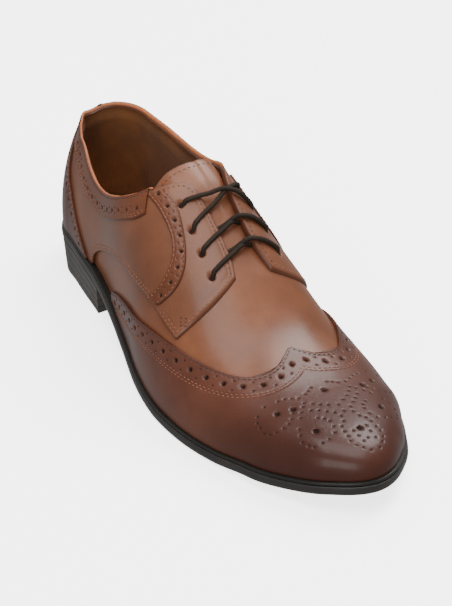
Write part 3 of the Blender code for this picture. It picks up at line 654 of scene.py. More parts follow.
# %% Make a mesh piece
def make_piece(name, patches, materials, nodes=(), weld=0.02, smooth_angle=70):
    """Join point grids into one mesh piece.

    A patch is a dict with points (rows x columns x 3, mm), flip, material index and attributes.
    """
    points = []
    faces = []
    slots = []
    numbers = {}
    start = 0
    for patch in patches:
        grid = patch["points"]
        rows, columns = grid.shape[:2]
        points.append(grid.reshape(-1, 3))
        corner = start + np.arange(rows * columns).reshape(rows, columns)
        quads = np.stack([corner[:-1, :-1], corner[1:, :-1], corner[1:, 1:], corner[:-1, 1:]], -1)
        quads = quads.reshape(-1, 4)
        faces.append(quads[:, ::-1] if patch.get("flip") else quads)
        slots.append(np.full(len(quads), patch.get("slot", 0)))
        # Per-point marks: hole floors (painted shade) and the edge band (edge dye with painted shade)
        for key in ("punched", "worn"):
            value = patch.get(key, 0.0)
            numbers.setdefault(key, []).append(np.broadcast_to(value, grid.shape[:2]).reshape(-1))
        start += rows * columns
    points = (np.concatenate(points) - MIDDLE) * MM
    faces = np.concatenate(faces)
    mesh = bpy.data.meshes.new(name)
    mesh.vertices.add(len(points))
    mesh.vertices.foreach_set("co", points.astype(np.float32).ravel())
    mesh.loops.add(len(faces) * 4)
    mesh.loops.foreach_set("vertex_index", faces.astype(np.int32).ravel())
    mesh.polygons.add(len(faces))
    mesh.polygons.foreach_set("loop_start", np.arange(len(faces), dtype=np.int32) * 4)
    mesh.polygons.foreach_set("material_index", np.concatenate(slots).astype(np.int32))
    for key, values in numbers.items():
        layer = mesh.attributes.new(key, "FLOAT", "POINT")
        layer.data.foreach_set("value", np.concatenate(values).astype(np.float32))
    mesh.update()
    mesh.validate()
    shape = bmesh.new()
    shape.from_mesh(mesh)
    bmesh.ops.remove_doubles(shape, verts=shape.verts, dist=weld * MM)
    bmesh.ops.dissolve_degenerate(shape, edges=shape.edges, dist=1e-6)
    shape.to_mesh(mesh)
    shape.free()
    mesh.shade_smooth()
    if smooth_angle:
        mesh.set_sharp_from_angle(angle=np.radians(smooth_angle))
    for item in materials:
        mesh.materials.append(item)
    piece = bpy.data.objects.new(name, mesh)
    bpy.context.scene.collection.objects.link(piece)
    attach(piece, "root")
    if nodes:
        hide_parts(*nodes)
    triangles = sum(len(face.vertices) - 2 for face in mesh.polygons)
    print("%s: %d triangles" % (name, triangles))


def flipped(points, outwards):
    """True where a grid's faces must be turned round to look along outwards."""
    a = points[1:, :-1] - points[:-1, :-1]
    b = points[:-1, 1:] - points[:-1, :-1]
    normal = np.cross(a, b)
    return bool(np.sum(normal * outwards[:-1, :-1]) < 0)


def grid_patch(points, outwards, **more):
    """A grid of points whose faces look along outwards; more gives its material slot and marks."""
    return {"points": points, "flip": flipped(points, outwards), **more}


# %% [markdown]
# ## Panels with edges, holes and seams
# An overlay is a sheet whose free edges are rounded and go down to the layer below. Holes are punched
# through it, and every seam row pulls a shallow groove. Both are real relief here, because a panel's
# height over the last is a formula: thickness, less the rounding near an edge, less each hole.

# %% Height of a panel over the last
EDGE_ROUND = 0.55
GROOVE_DEPTH = 0.16
GROOVE_HALF = 0.55
HOLE_SOFT = 0.25
LARGE_FROM = 0.9
LARGE_DEPTH = 1.1
SMALL_DEPTH = 0.45
LIP_AWAY = 0.5
LIP_DEPTH = 0.05
EDGE_DYE_SHADE_WIDTH = 0.9
EDGE_DYE_SHADE_MOST = 0.7
FAR_AWAY = 99.0


def panel_height(points, top, edge_points, holes, grooves):
    """Height and marks of a panel: quarter circle near an edge, cup at a hole, bell at a groove."""
    drop = np.zeros(points.shape[:2])
    punched = np.zeros(points.shape[:2])
    away = nearest(points, edge_points) if len(edge_points) else np.full(points.shape[:2], FAR_AWAY)
    near = np.clip(1 - away / EDGE_ROUND, 0, 1)
    drop += EDGE_ROUND * (1 - np.sqrt(1 - near**2))
    for distance in grooves:
        drop += GROOVE_DEPTH * np.exp(-((away - distance) / GROOVE_HALF) ** 2)
    for radius, centres in holes:
        if len(centres):
            far = nearest(points, centres)
            inside = 1 - smooth_step(radius - HOLE_SOFT, radius + HOLE_SOFT, far)
            lip = np.exp(-((far - radius - LIP_AWAY) / LIP_AWAY) ** 2)
            drop += inside * (LARGE_DEPTH if radius > LARGE_FROM else SMALL_DEPTH) + LIP_DEPTH * radius * lip
            # Hole floors: painted near-black as painted shade by the leather, and kept matt
            punched = np.maximum(punched, 1 - smooth_step(radius - 0.35, radius + 0.15, far))
    # Darkening along a free edge: edge dye, and painted shade where the edge rounds down
    worn = np.clip(1 - away / EDGE_DYE_SHADE_WIDTH, 0, 1) * EDGE_DYE_SHADE_MOST
    return top - drop, punched, worn


WALL_LIFT = 0.35
RIDGE_UP = 0.999
FEATHER_UP = 0.002


def panel_patch(side, along, up, top, edge_points, holes, grooves, free, lift=no_lift, bottom=-0.1):
    """Patch of a panel; free names the sides (low, high, first row, last row) that get a wall.

    No wall stands on the ridge or on the feather edge, where a panel meets its other half or the sole.
    """
    flat = surface(side, along, up, top + 0 * up, lift)
    height, punched, worn = panel_height(flat, top, edge_points, holes, grooves)
    low, high, first, last = free
    pad = ((int(first), int(last)), (int(low), int(high)))
    along, up, punched, worn = (np.pad(item, pad, mode="edge") for item in (along, up, punched, worn))
    height = np.pad(height, pad, mode="edge")
    wall = np.zeros(height.shape, bool)
    for used, where in ((low, np.s_[:, 0]), (high, np.s_[:, -1]), (first, np.s_[0]), (last, np.s_[-1])):
        if used:
            wall[where] = True
    if high:
        wall[:, -1] &= up[:, -1] < RIDGE_UP
    if low:
        wall[:, 0] &= up[:, 0] > FEATHER_UP
    height = np.where(wall, bottom, height)
    lifted = np.where(wall, WALL_LIFT, 1.0) * lift(side, along, up)
    # Walls get the full edge mark: dyed cut edge with painted shade
    return grid_patch(form(side, along, up, height + lifted), growth(side, along, up, height),
                      punched=punched, worn=np.where(wall, 1.0, worn))


# %% [markdown]
# ## Stitches
# A lockstitch shows as short slanted bars of thread that dive into the leather at both ends. One bar
# is a bent tube of few faces; a row repeats it along a curve, and all rows of one thread are one mesh.

# %% Stitch rows
stitch_rows = {"brown": [], "tan": []}
STITCH_RINGS = np.linspace(-1, 1, 5)
STITCH_ARCH = 0.10
STITCH_DIVE = 0.42
STITCH_SIDES = 5
STITCH_SINK = 0.12
TRIM_SHARE = 0.93
SHORTEST_RUN = 6


def add_stitches(thread, side, along, up, out, lift=no_lift, pitch=2.6, length=1.9, thick=0.55):
    """Bars of thread along a curve of (along, up): each a tube whose ends dive below the leather."""
    here, by_along, by_up, normal = slopes(side, along, up, out, lift)
    places = resample(here, pitch)
    if len(places) < 2:
        return
    centre = pick(here, places)[:, None, None]
    normal = pick(normal, places)
    tangent = pick(np.gradient(here, axis=0), places)
    tangent /= np.linalg.norm(tangent, axis=1, keepdims=True)
    across = np.cross(normal, tangent)[:, None, None]
    normal = normal[:, None, None]
    ring = STITCH_RINGS[None, :, None, None]
    half = thick / 2 * np.sqrt(np.clip(1.02 - ring**2, 0.02, 1))
    turn = (np.arange(STITCH_SIDES) * 2 * np.pi / STITCH_SIDES)[None, None, :, None]
    bend = STITCH_ARCH - STITCH_DIVE * ring**2
    stitch_rows[thread].append(
        centre + ring * tangent[:, None, None] * length / 2
        + normal * (bend + half * np.sin(turn)) + across * half * np.cos(turn)
    )


def beside_edge(side, along, up, distance, towards, edge, out, lift, lowest):
    """Curve at a distance from an edge: its (along, up), its points, and where it is clear of the edge."""
    row_along, row_up = walk(side, along, up, distance, towards, out, lift)
    here = surface(side, row_along, np.clip(row_up, 0, 1), out + 0 * row_up, lift)
    good = (row_up > lowest) & (row_up < RIDGE_LIMIT)
    good &= nearest(here[None], edge)[0] > TRIM_SHARE * distance
    return row_along, row_up, here, good


def seam(thread, side, along, up, distances, towards, edge, out=PANEL_TOP, lift=no_lift):
    """Stitch rows at distances from an edge curve, trimmed where they would run past it."""
    for distance in distances:
        row_along, row_up, here, good = beside_edge(side, along, up, distance, towards, edge, out, lift, 0.0)
        runs = np.split(np.arange(len(good)), np.flatnonzero(np.diff(good.astype(int))) + 1)
        for run in runs:
            if good[run[0]] and len(run) > SHORTEST_RUN:
                add_stitches(thread, side, row_along[run], row_up[run], out - STITCH_SINK, lift)


def hole_row(side, along, up, distance, towards, pitch, pair, edge, out=PANEL_TOP, lift=no_lift):
    """Large holes along a line at a distance from an edge, with a pair of small ones between them."""
    tracks = [beside_edge(side, along, up, distance + offset, towards, edge, out, lift, FEATHER_LIMIT)[2:]
              for offset in (0.0, -pair, pair)]
    here, good = tracks[0]
    step = np.linalg.norm(np.diff(here, axis=0), axis=1) * (good[1:] & good[:-1])
    length = np.concatenate([[0.0], np.cumsum(step)])
    index = np.arange(len(length))
    rising = length + index * 1e-9
    count = max(int(round(length[-1] / pitch)), 1)
    centres = pick(here, np.interp((np.arange(count) + 0.5) * length[-1] / count, rising, index))
    spots = np.interp(np.arange(1, count) * length[-1] / count, rising, index)
    pairs = [pick(track, spots)[pick(fine.astype(float), spots) > 0.99] for track, fine in tracks[1:]]
    return centres, np.concatenate(pairs)


# %% [markdown]
# ## Vamp and tongue
# On this kind of shoe the tongue is cut in one with the vamp, so one sheet runs from under the wing
# cap up between the facings to the tongue's top. It is a welded pair of halves over the ridge.

# %% Vamp with tongue
def vamp_level(side, along, up):
    """The vamp lies on the form and its tongue a little lower, rising towards the facings' gap."""
    rise = smooth_step(0.62, 0.82, up)
    tongue = -TONGUE_DEPTH + TONGUE_RISE * rise
    fold = -0.5 * np.exp(-((1 - up) / 0.02) ** 2) * smooth_step(185, 160, along)
    back = 1 - smooth_step(172, 196, along)
    return back * (tongue + fold)


TONGUE_THICK = 2.0
TONGUE_END = 137
TONGUE_UP = 0.60
THROAT = 196
VAMP_BACK = (60, 206)
VAMP_BACK_LEVEL = -0.15
# Low on the flank the front part is pulled back under the quarters, up to where it blends out
VAMP_BLEND = 250
VAMP_PULL = 90


def spread(start, end, steps, columns):
    """Grid of even steps from start to end, the same in every column."""
    return np.linspace(start, end, steps)[:, None] + np.zeros(columns)


def vamp_patches(side):
    """Back part: under the quarters; front part: whole width; tongue part: between the facings."""
    along = spread(*VAMP_BACK, 110, 40)
    up = np.linspace(0, 1, 40) * np.minimum(TONGUE_UP, 0.92 * topline(side, along))
    patches = [grid_patch(form(side, along, up, VAMP_BACK_LEVEL), growth(side, along, up, 0.0))]
    along = spread(THROAT, TOE, 110, 90)
    up = np.linspace(0, 1, 90) + 0 * along
    pull = (1 - smooth_step(0.0, 0.62, up)) * (1 - smooth_step(THROAT, VAMP_BLEND, along))
    along = along - VAMP_PULL * pull
    front = form(side, along, up, vamp_level(side, along, up))
    patches.append(grid_patch(front, growth(side, along, up, 0.0)))
    along = spread(TONGUE_END, THROAT, 70, 34)
    up = np.linspace(TONGUE_UP, 1, 34) + 0 * along
    level = vamp_level(side, along, up)
    outwards = growth(side, along, up, 0.0)
    patches.append(grid_patch(form(side, along, up, level), outwards))
    patches.append(grid_patch(form(side, along, up, level - TONGUE_THICK), -outwards, slot=1))
    depths = np.array([0.0, -0.25, -0.7, -1.4, -TONGUE_THICK])
    round_back = np.array([0.0, -0.5, -0.7, -0.5, 0.0])
    edge_up = up[0][:, None] + 0 * depths
    edge = form(side, TONGUE_END + round_back + 0 * edge_up, edge_up, level[0][:, None] + depths)
    ahead = form(side, TONGUE_END + 0 * edge_up, edge_up, 0.0)
    behind = form(side, TONGUE_END - 7 + 0 * edge_up, edge_up, 0.0)
    patches.append(grid_patch(edge, behind - ahead, slot=2))
    return patches


make_piece("vamp_and_tongue", vamp_patches(-1) + vamp_patches(1), [vamp_calf, lining_suede, dark_edge],
           ("upper", "tongue"))


# %% [markdown]
# ## Wing cap
# The cap's wings run back along both sides and its peak points up the instep. Its edge carries the
# brogue's band: large holes with pairs of small ones between two seams, and its toe the medallion.

# %% Wing cap
CAP_FINE = 0.62
FINE_SHARES = np.linspace(0, 0.80, 104) ** 1.1
WIDE_SHARES = np.linspace(0.81, 1.0, 12)
CAP_CURL = (11, 13)
HOLE_MIDDLE = 5.6
HOLE_PITCH = 10.5
PAIR_AWAY = 2.6
EDGE_SEAM = 1.3
BAND_SEAMS = (10.4, 11.8)
# Radii of the band's large and small holes, and of the medallion's
CAP_HOLES = (1.25, 0.55, 1.4, 0.6)


def free_edge(side, rows, count=900):
    """Upper edge of a pattern as (along, up), from where it leaves the feather edge to the ridge."""
    along, up = pattern_curves(side, rows, np.linspace(0, len(rows) - 1, count))[2:]
    up = np.clip(up, 0, 1)
    free = (up > FEATHER_LIMIT) & (up < RIDGE_LIMIT)
    start = int(np.argmax(free))
    ends = np.flatnonzero(~free[start:])
    stop = start + int(ends[0]) + 1 if len(ends) else count
    return along[start:stop], up[start:stop]


cap_share = np.sort(1 - np.concatenate([FINE_SHARES, WIDE_SHARES]))
cap_edges = {side: free_edge(side, CAP_ROWS[side]) for side in (-1, 1)}
cap_edge_all = np.concatenate([form(side, *line, PANEL_TOP) for side, line in cap_edges.items()])
cap_holes = []
for side, line in cap_edges.items():
    inwards = (1.0, -0.01)
    cap_holes.append(hole_row(side, *line, HOLE_MIDDLE, inwards, HOLE_PITCH, PAIR_AWAY, cap_edge_all))
    seam("brown", side, *line, (EDGE_SEAM,), inwards, cap_edge_all)
    seam("tan", side, *line, BAND_SEAMS, inwards, cap_edge_all)
large, small = (np.concatenate(rows) for rows in zip(*cap_holes))
cap_grids = {side: pattern_grid(side, CAP_ROWS[side], CAP_FINE, cap_share, curl=CAP_CURL) for side in (-1, 1)}

# Toe medallion: punch places as millimetres ahead of the heel and beside the toe's middle line
MEDALLION_LINE = 2.0
MEDALLION_LARGE = ((250.0, 28.4), (252.5, 20.8), (270.4, 19.4), (249.0, 0.0), (279.6, 0.0))
MEDALLION_SMALL = (
    (243.5, 23.7), (244.3, 20.5), (245.7, 17.5), (247.3, 14.2), (251.6, 13.7), (253.8, 16.0), (256.3, 18.7),
    (254.5, 22.3), (256.9, 24.5), (258.4, 27.2), (258.8, 30.2), (257.9, 33.7), (255.7, 36.2), (253.0, 37.6),
    (249.2, 37.6), (246.2, 37.3), (244.0, 35.7), (242.1, 30.6), (259.3, 21.0), (264.3, 24.8), (267.6, 26.2),
    (270.8, 27.4), (274.0, 26.3), (276.7, 24.4), (277.6, 20.5), (277.5, 17.0), (276.1, 12.8), (272.7, 10.7),
    (268.8, 10.3), (265.9, 11.7), (263.8, 14.2), (254.4, 10.8), (256.7, 7.7), (258.9, 4.5), (261.0, 0.0),
    (257.8, 13.7), (260.0, 10.7), (262.3, 7.8), (264.6, 4.6), (266.0, 0.0), (268.0, 3.6), (272.1, 4.8),
    (274.5, 7.2), (279.5, 3.8), (277.8, 8.3), (281.5, 8.6), (283.4, 3.7), (284.5, 8.7), (286.6, 0.0),
    (288.1, 7.6), (287.6, 3.4), (290.7, 5.7), (293.2, 2.6), (244.0, 4.8), (245.4, 7.4), (246.8, 10.1),
)
cap_cloud = np.concatenate([form(side, grid[0], grid[1], PANEL_TOP + 0 * grid[0])[grid[0] > 225]
                            for side, grid in cap_grids.items()])


def medallion(places):
    """Places mirrored over the middle line, each set on the cap's surface at the nearest point in plan."""
    table = np.array(places)
    sides = np.concatenate([table * [1, -1], table[table[:, 1] > 0]]) + [0, MEDALLION_LINE]
    gaps = ((cap_cloud[None, :, :2] - sides[:, None]) ** 2).sum(axis=2)
    return cap_cloud[np.argmin(gaps, axis=1)]


large_medallion = medallion(MEDALLION_LARGE)
small_medallion = medallion(MEDALLION_SMALL)
print("medallion: %d large and %d small holes" % (len(large_medallion), len(small_medallion)))
cap_hole_rows = tuple(zip(CAP_HOLES, (large, small, large_medallion, small_medallion)))
cap_patches = [panel_patch(side, *grid, PANEL_TOP, cap_edge_all, cap_hole_rows, (EDGE_SEAM, *BAND_SEAMS),
                           (False, True, False, False)) for side, grid in cap_grids.items()]
make_piece("wing_cap_calf", cap_patches, [cap_calf], ("wing_cap",))

# %% [markdown]
# ## Quarters
# The two quarters wrap the heel and carry the eyelets. Each lies over the vamp, and its edge is cut
# raw, so its wall shows. Eyelets are plain punched holes.

# %% Quarters
QUARTER_FINE = 1.0
QUARTER_COLUMNS = 90
FACING_FROM = 141
FACING_SEAM = 2.2
FRONT_SEAM = 2.0
LOW_SEAMS = (1.6, 3.4)
EYELET_RADIUS = 1.9
quarter_words = {-1: "outer", 1: "inner"}
for side, word in quarter_words.items():
    rows = ((0, 0, 0, TOP),) + QUARTER_ROWS[side][1:]
    along, up = pattern_grid(side, rows, QUARTER_FINE, np.linspace(0, 1, QUARTER_COLUMNS), QUARTER_BOW[side])
    free_low = up[:, 0] > FEATHER_LIMIT
    facing = along[:, -1] > FACING_FROM
    low_line = (along[free_low, 0], up[free_low, 0])
    high_line = (along[facing, -1], up[facing, -1])
    front = (along[-1], up[-1])
    edge_all = np.concatenate([surface(side, *line, PANEL_TOP, facing_lift)
                               for line in (low_line, high_line, front)])
    for thread, line, distances, towards in (
        ("tan", low_line, LOW_SEAMS, (-0.5, 0.01)),
        ("brown", high_line, (FACING_SEAM,), (0.0, -0.01)),
        ("tan", front, (FRONT_SEAM,), (-1.0, 0.0)),
    ):
        seam(thread, side, *line, distances, towards, edge_all, lift=facing_lift)
    eyelets = surface(side, *np.array(EYELETS[side], float).T, PANEL_TOP, facing_lift)
    patch = panel_patch(side, along, up, PANEL_TOP, edge_all, ((EYELET_RADIUS, eyelets),), LOW_SEAMS,
                        (True, True, False, True), facing_lift)
    make_piece("quarter_calf_" + word, [patch], [quarter_calf], ("quarter_" + word,))

# %% [markdown]
# ## Counter, collar bands and facing strips
# A second layer of darker leather lies over the quarters: the counter round the heel, a band round
# the collar and a strip round the eyelets. Each has its own line of brogue holes.

# %% Second layer
OVER_BOTTOM = PANEL_TOP - 0.1
OVER_GROOVE = 1.3
OVER_HOLES = (0.95, 0.42)
OVER_PAIR = 1.5
OVER_PITCH = 8.5
ALL_FREE = (True, True, True, True)


def overlay(name, side_rows, node, leather_used, fine, free, seams, band, lift=no_lift):
    """A band over the quarters.

    fine is (spacing, columns), seams are (edge, thread, distances, towards), and band is
    (edge, distance, towards) of the hole row.
    """
    patches = []
    for side, rows in side_rows.items():
        along, up = pattern_grid(side, rows, fine[0], np.linspace(0, 1, fine[1]))
        lines = {"low": (along[:, 0], up[:, 0]), "high": (along[:, -1], up[:, -1])}
        edges = {word: surface(side, *line, BAND_TOP, lift) for word, line in lines.items()}
        edge_all = np.concatenate([edges[word] for word, used in zip(("low", "high"), free) if used])
        for word, thread, distances, towards in seams:
            seam(thread, side, *lines[word], distances, towards, edges[word], BAND_TOP, lift)
        word, distance, towards = band
        rows_of_holes = hole_row(side, *lines[word], distance, towards, OVER_PITCH, OVER_PAIR, edges[word],
                                 BAND_TOP, lift)
        patches.append(panel_patch(side, along, up, BAND_TOP, edge_all, tuple(zip(OVER_HOLES, rows_of_holes)),
                                   (OVER_GROOVE,), free, lift, OVER_BOTTOM))
    make_piece(name, patches, [leather_used], (node,))


overlay("counter_calf", COUNTER_ROWS, "counter", counter_calf, (0.7, 70),
        (False, True, False, True), (("high", "tan", (1.3, 2.6), (-1.0, -0.01)),),
        ("high", 5.2, (-1.0, -0.01)))
for side, word in quarter_words.items():
    overlay("collar_band_calf_" + word, {side: COLLAR_ROWS[side]}, "collar_band_" + word,
            band_calf, (0.6, 34), ALL_FREE,
            (("low", "tan", (1.2, 2.3), (0.0, 0.01)), ("high", "brown", (1.6,), (0.0, -0.01))),
            ("low", 5.0, (0.0, 0.01)))
    overlay("facing_strip_calf_" + word, {side: STRIP_ROWS[side]}, "facing_strip_" + word,
            band_calf, (0.5, 26), ALL_FREE,
            (("low", "tan", (1.1,), (1.0, 0.005)), ("high", "tan", (1.1,), (-1.0, -0.005))),
            ("low", 4.6, (1.0, 0.005)), facing_lift)

# %% [markdown]
# ## Lining, collar edge and insole
# The inside is tan suede on the wall's inner face. At the collar the raw edges of lining and quarter
# show as one thin tan line, which is a strip of its own between the two faces.

# %% Inside of the shoe
LINING_FINE = 2.5
LINING_COLUMNS = 40
ROLL_UP = 0.09
ROLL_OUT = 0.9
COLLAR_END = (134, 142)
RIM_END = 141
RIM_OUT = np.array([0.8, 0.9, 1.2, 1.6, 2.1, 2.5, 2.7, 2.7])
RIM_RISE = np.array([-0.006, 0.002, 0.006, 0.007, 0.006, 0.003, -0.001, -0.008])
lining_patches = []
rim_patches = []
for side in (-1, 1):
    along, up = pattern_grid(side, SHELL_ROWS[side], LINING_FINE, np.linspace(0, 1, LINING_COLUMNS))
    rolled = 1 - smooth_step(0.0, ROLL_UP, topline(side, along) - up)
    level = -WALL + (WALL + ROLL_OUT) * rolled * (1 - smooth_step(*COLLAR_END, along))
    lining_patches.append(grid_patch(form(side, along, up, level), -growth(side, along, up, level - 1.0)))
    along = spread(0, RIM_END, 260, len(RIM_OUT))
    up = topline(side, along) + RIM_RISE
    above = form(side, along, up + 0.05, 0.0) - form(side, along, up, 0.0)
    rim_patches.append(grid_patch(form(side, along, up, RIM_OUT), above))
make_piece("suede_lining_sheet", lining_patches, [lining_suede])
make_piece("collar_cut_edge", rim_patches, [cut_edge])

# The insole's solid has the right shape already, so it stays and only gets its leather
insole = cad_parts["insole"].data
insole.materials.clear()
insole.materials.append(insole_leather)

# %% [markdown]
# ## Outsole, welt and heel
# The frame's sole has few corners round its outline. Finer rings with the same profile give a smooth
# silhouette: each is a profile of (trim, height) carried round the outline.

# %% Sole rings
OUTSOLE_PROFILE = (
    (1, 0, 0), (0.5, 0, 0), (0.05, -1, 0), (0, -1.2, 0), (0, -0.4, 0.35), (0, 0, 1.2), (0, 0.15, 2.6),
    (0, 0, 4.3), (0, -0.15, 4.8), (0, -0.5, 5.0), (0.05, -1, 5.0), (0.5, 0, 5.0), (1, 0, 5.0),
)
WELT_PROFILE = (
    (0, -6.7, 5.3), (0, -0.9, 5.3), (0, -0.7, 5.5), (0, -0.7, 6.6), (0, -1.0, 6.95), (0, -1.4, 7.0),
    (0, -6.7, 7.0),
)


def sole_ring(name, profile, finish, node, steps=240):
    """Profile of (inwards, trim, height) carried round both halves of the outline."""
    inwards, trim, height = np.array(profile, float).T
    along = spread(0, TOE, steps, len(profile))
    patches = []
    for side in (-1, 1):
        points = sole_place(side, along, inwards, trim, height)
        middle = sole_place(side, along, 0.5, 0.0, 3.0)
        patches.append(grid_patch(points, points - middle))
    make_piece(name, patches, [finish], (node,), smooth_angle=40)


sole_ring("rubber_outsole", OUTSOLE_PROFILE, sole_rubber, "outsole")
sole_ring("inked_welt", WELT_PROFILE, welt_ink, "welt")

# %% Heel
HEEL_STEPS = 80
BREAST_STEPS = 30
HEEL_TRIM = 0.3
JOINTS = 0.25 + 0.255 * np.arange(3)
JOINT_HALF = 0.015
JOINT_DEEP = 0.28
ROUND_SHARE = 0.02
FOOT_ROUND = 0.7
SEAT_ROUND = 0.4
heel_middle = np.array([HEEL_FRONT / 2, 0.0, 0.0])
heel_front = np.interp(HEEL_FRONT, SECTION["foot"][3:], DISTANCE[3:])
heel_along = np.linspace(0, heel_front, HEEL_STEPS)
inner_rim, outer_rim = (sole_place(side, heel_along, 0.0, -HEEL_TRIM, -GAP) for side in (1, -1))
breast = outer_rim[-1] + (inner_rim[-1] - outer_rim[-1]) * np.linspace(0, 1, BREAST_STEPS)[1:-1, None]
heel_top = np.concatenate([inner_rim[::-1], outer_rim[1:], breast, inner_rim[-1:]])
# Share of the height at each ring, and how far the ring is cut in: rounded foot, three grooves, seat
grooves = (JOINTS[:, None] + [-JOINT_HALF, 0, JOINT_HALF]).ravel()
shares = np.concatenate([[0, ROUND_SHARE], grooves, [1 - ROUND_SHARE, 1]])[:, None, None]
cut = np.array([FOOT_ROUND, 0] + [0, JOINT_DEEP, 0] * len(JOINTS) + [0, SEAT_ROUND])[:, None, None]
away = (heel_top - heel_middle) * [1, 1, 0]
length = np.linalg.norm(away, axis=1)[None, :, None]
heel_wall = heel_middle + away * (1 - (HEEL_TAPER * (1 - shares) + cut) / length)
heel_wall[:, :, 2] = heel_top[None, :, 2] * shares[..., 0]
heel_caps = heel_wall.mean(axis=1, keepdims=True) + 0 * heel_wall
heel_grid = np.concatenate([heel_caps[:1], heel_wall, heel_caps[-1:]])
heel_patch = grid_patch(heel_grid, heel_grid - (heel_middle + [0, 0, 10]))
make_piece("stacked_rubber_heel", [heel_patch], [heel_rubber], ("heel",), smooth_angle=35)

# %% [markdown]
# ## Stitches as meshes
# All stitch bars of one thread share a mesh, with a few faces each.

# %% Build the stitch meshes
def build_stitches(name, rows, finish):
    """One mesh from all bars: every ring is joined to the next, and the two ends are left under."""
    bars = np.concatenate(rows)
    count, rings, sides = bars.shape[:3]
    number = np.arange(count * rings * sides).reshape(count, rings, sides)
    after = np.roll(number, -1, axis=2)
    quads = np.stack([number[:, :-1], after[:, :-1], after[:, 1:], number[:, 1:]], -1).reshape(-1, 4)
    mesh = bpy.data.meshes.new(name)
    mesh.from_pydata(((bars.reshape(-1, 3) - MIDDLE) * MM).tolist(), [], quads.tolist())
    shape = bmesh.new()
    shape.from_mesh(mesh)
    bmesh.ops.holes_fill(shape, edges=shape.edges, sides=STITCH_SIDES)
    bmesh.ops.recalc_face_normals(shape, faces=shape.faces)
    shape.to_mesh(mesh)
    shape.free()
    mesh.shade_smooth()
    mesh.materials.append(finish)
    piece = bpy.data.objects.new(name, mesh)
    bpy.context.scene.collection.objects.link(piece)
    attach(piece, "root")
    print("%s: %d stitches" % (name, count))


# Bar tack near the corner of the outer facing: short rows side by side
TACK_START = (193.4, 0.465)
TACK_END = (197.4, 0.515)
TACK_ASIDE = (2.4, -0.023)
TACK_ROWS = 3
TACK_PITCH = 2.2
for share in np.linspace(0, 1, TACK_ROWS):
    along, up = (np.linspace(start, end, 20) + aside * share
                 for start, end, aside in zip(TACK_START, TACK_END, TACK_ASIDE))
    add_stitches("brown", -1, along, up, PANEL_TOP, pitch=TACK_PITCH)

# A row across the top of the tongue
TONGUE_SEAM = 140.0
for side in (-1, 1):
    up = np.linspace(0.70, 0.999, 80)
    add_stitches("brown", side, TONGUE_SEAM + 0 * up, up, 0.0, vamp_level)
build_stitches("stitches_brown", stitch_rows["brown"], brown_thread)
build_stitches("stitches_tan", stitch_rows["tan"], tan_thread)

# %% [markdown]
# ## Lace
# A round waxed lace of 2.5 mm goes straight from hole to hole, dives into each eyelet and ends inside
# at the top pair. Its centre line is a formula of the two holes that it joins, and the cord is a
# circle carried along it. The eyelets hold it, so it lies still, and its braid is a fine bump.

# %% Lace runs
LACE = 2.5
LACE_PRESS = 0.1
LACE_SIDES = 16
DIVE = 4.2
DIVE_SHARE = 0.075
RIDGE_BLEND = 0.06
THROAT_BACK = 7.0
THROAT_PAST = 0.135
THROAT_OVER = -0.8
THROAT_SHARES = (0.55, 1.0)
FRAME_UP = (0.35, 0.0, 1.0)


def eyelet(side, number):
    """An eyelet as (along, across), where across is side times distance from the ridge in up."""
    along, up = EYELETS[side][number - 1]
    return along, side * (1 - up)


def lace_path(start, end, lower_end, over_more, steps=60):
    """Centre line: over the leather between two holes, down into each; or into the throat."""
    share = np.linspace(0, 1, steps)
    along = start[0] + (end[0] - start[0]) * share
    across = start[1] + (end[1] - start[1]) * share
    inner = smooth_step(-RIDGE_BLEND, RIDGE_BLEND, across)
    up = 1 - np.abs(across)
    lift = (1 - inner) * facing_lift(-1, along, up) + inner * facing_lift(1, along, up)
    over = PANEL_TOP + LACE / 2 - LACE_PRESS + lift + over_more * np.sin(np.pi * share) ** 2
    over = over - (1 - smooth_step(0.0, DIVE_SHARE, share)) * DIVE
    if lower_end:
        over = over + (THROAT_OVER - over) * smooth_step(*THROAT_SHARES, share)
    else:
        over = over - (1 - smooth_step(0.0, DIVE_SHARE, 1 - share)) * DIVE
    return np.where(across[:, None] < 0, form(-1, along, up, over), form(1, along, up, over))


def lace_tube(points):
    """Rings of a round cord along points, with even frames."""
    forward = np.gradient(points, axis=0)
    forward /= np.linalg.norm(forward, axis=1, keepdims=True)
    across = np.cross(forward, FRAME_UP)
    across /= np.linalg.norm(across, axis=1, keepdims=True)
    over = np.cross(across, forward)
    turn = np.linspace(0, 2 * np.pi, LACE_SIDES + 1)[None, :, None]
    skin = points[:, None] + LACE / 2 * (np.cos(turn) * across[:, None] + np.sin(turn) * over[:, None])
    return grid_patch(skin, skin - points[:, None])


# Waxed cotton: a dense round braid, matt and a little stiff
lace_cord = plain_surface("waxed_cotton_lace", "#221a13", 0.75, 0.45, 0.6, Specular_IOR_Level=0.15)
lace_runs = {
    1: (((-1, 2), (1, 1), False, 0.0), ((-1, 1), (1, 2), False, 1.9)),
    2: (((-1, 3), None, True, 0.0), ((1, 3), None, True, 0.9)),
    3: (((-1, 4), None, True, 0.0), ((1, 4), None, True, 0.9)),
}
for number, runs in lace_runs.items():
    patches = []
    for first, last, lower_end, over_more in runs:
        start = eyelet(*first)
        if last is None:
            throat = (eyelet(-1, first[1])[0] + eyelet(1, first[1])[0]) / 2 - THROAT_BACK
            end = (throat, -first[0] * THROAT_PAST)
        else:
            end = eyelet(*last)
        patches.append(lace_tube(lace_path(start, end, lower_end, over_more)))
    make_piece("lace_cord_%d" % number, patches, [lace_cord], ("lace_crossing_%d" % number,))

# %% [markdown]
# ## Studio
# A pale sweep of paper that glows a little, so that it stays nearly white, and two large soft lights,
# from behind and from above, with a low fill from the camera's side. The camera looks down at the
# shoe from in front, on its outer side. Large lights give leather wide soft highlights, where a bare
# lamp would give hard spots.

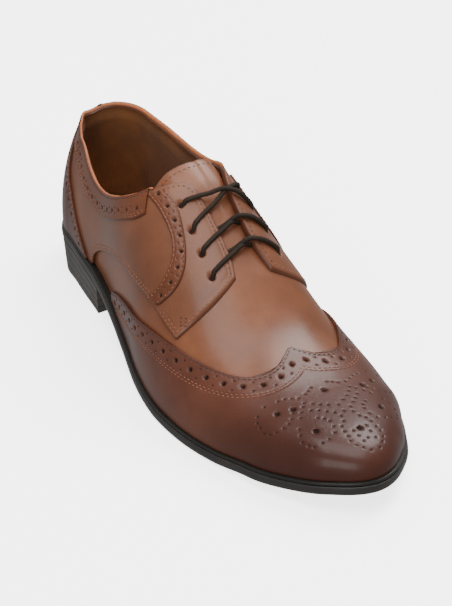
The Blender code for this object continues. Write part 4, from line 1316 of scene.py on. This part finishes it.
# %% Floor
FLOOR_HALF = 4.0
FLOOR_GLOW = 2.8
floor_mesh = bpy.data.meshes.new("studio_floor")
corners = [(x * FLOOR_HALF, y * FLOOR_HALF, 0) for x, y in ((-1, -1), (1, -1), (1, 1), (-1, 1))]
floor_mesh.from_pydata(corners, [], [(0, 1, 2, 3)])
studio_floor = bpy.data.objects.new("studio_floor", floor_mesh)
bpy.context.scene.collection.objects.link(studio_floor)
floor_paint, _, floor_shader = new_material("paper_sweep", Roughness=0.9)
floor_shader.inputs["Base Color"].default_value = srgb("#fbfaf9")
floor_shader.inputs["Emission Color"].default_value = srgb("#ffffff")
floor_shader.inputs["Emission Strength"].default_value = FLOOR_GLOW
floor_mesh.materials.append(floor_paint)
# The glow is for the camera alone: on the shoe it would act as a lamp from below
studio_floor.visible_glossy = False
studio_floor.visible_diffuse = False
print("floor: %.0f m wide" % (2 * FLOOR_HALF))

# %% Lights and camera
LIGHTS = (
    ("window", (-0.3, 0.9, 1.5), (0, 0, 0.05), 0.8, 38),
    ("ceiling", (0.3, -0.2, 1.9), (0, 0, 0.0), 1.2, 38),
    ("fill", (1.3, -1.3, 0.6), (0, 0, 0.03), 1.0, 22),
)
SURROUND = 0.66
CAMERA_EYE = (0.6432, -0.3868, 0.5211)
CAMERA_AIM = (0.006, 0.004, 0.038)
LENS_MM = 100
SENSOR_MM = 36


def aimed(name, data, place, target):
    """Object at place that looks at target along its own -Z."""
    item = bpy.data.objects.new(name, data)
    item.location = place
    item.rotation_euler = (Vector(target) - Vector(place)).to_track_quat("-Z", "Y").to_euler()
    bpy.context.scene.collection.objects.link(item)
    return item


for name, place, target, size, watts in LIGHTS:
    lamp = bpy.data.lights.new(name, "AREA")
    lamp.size = size
    lamp.energy = watts
    aimed(name, lamp, place, target)
world = bpy.data.worlds.new("studio")
bpy.context.scene.world = world
world.use_nodes = True
world.node_tree.nodes["Background"].inputs["Color"].default_value = srgb("#ffffff")
world.node_tree.nodes["Background"].inputs["Strength"].default_value = SURROUND
camera_data = bpy.data.cameras.new("camera")
camera_data.lens = LENS_MM
camera_data.sensor_width = SENSOR_MM
bpy.context.scene.camera = aimed("camera", camera_data, CAMERA_EYE, CAMERA_AIM)
print("lights:", ", ".join(row[0] for row in LIGHTS))
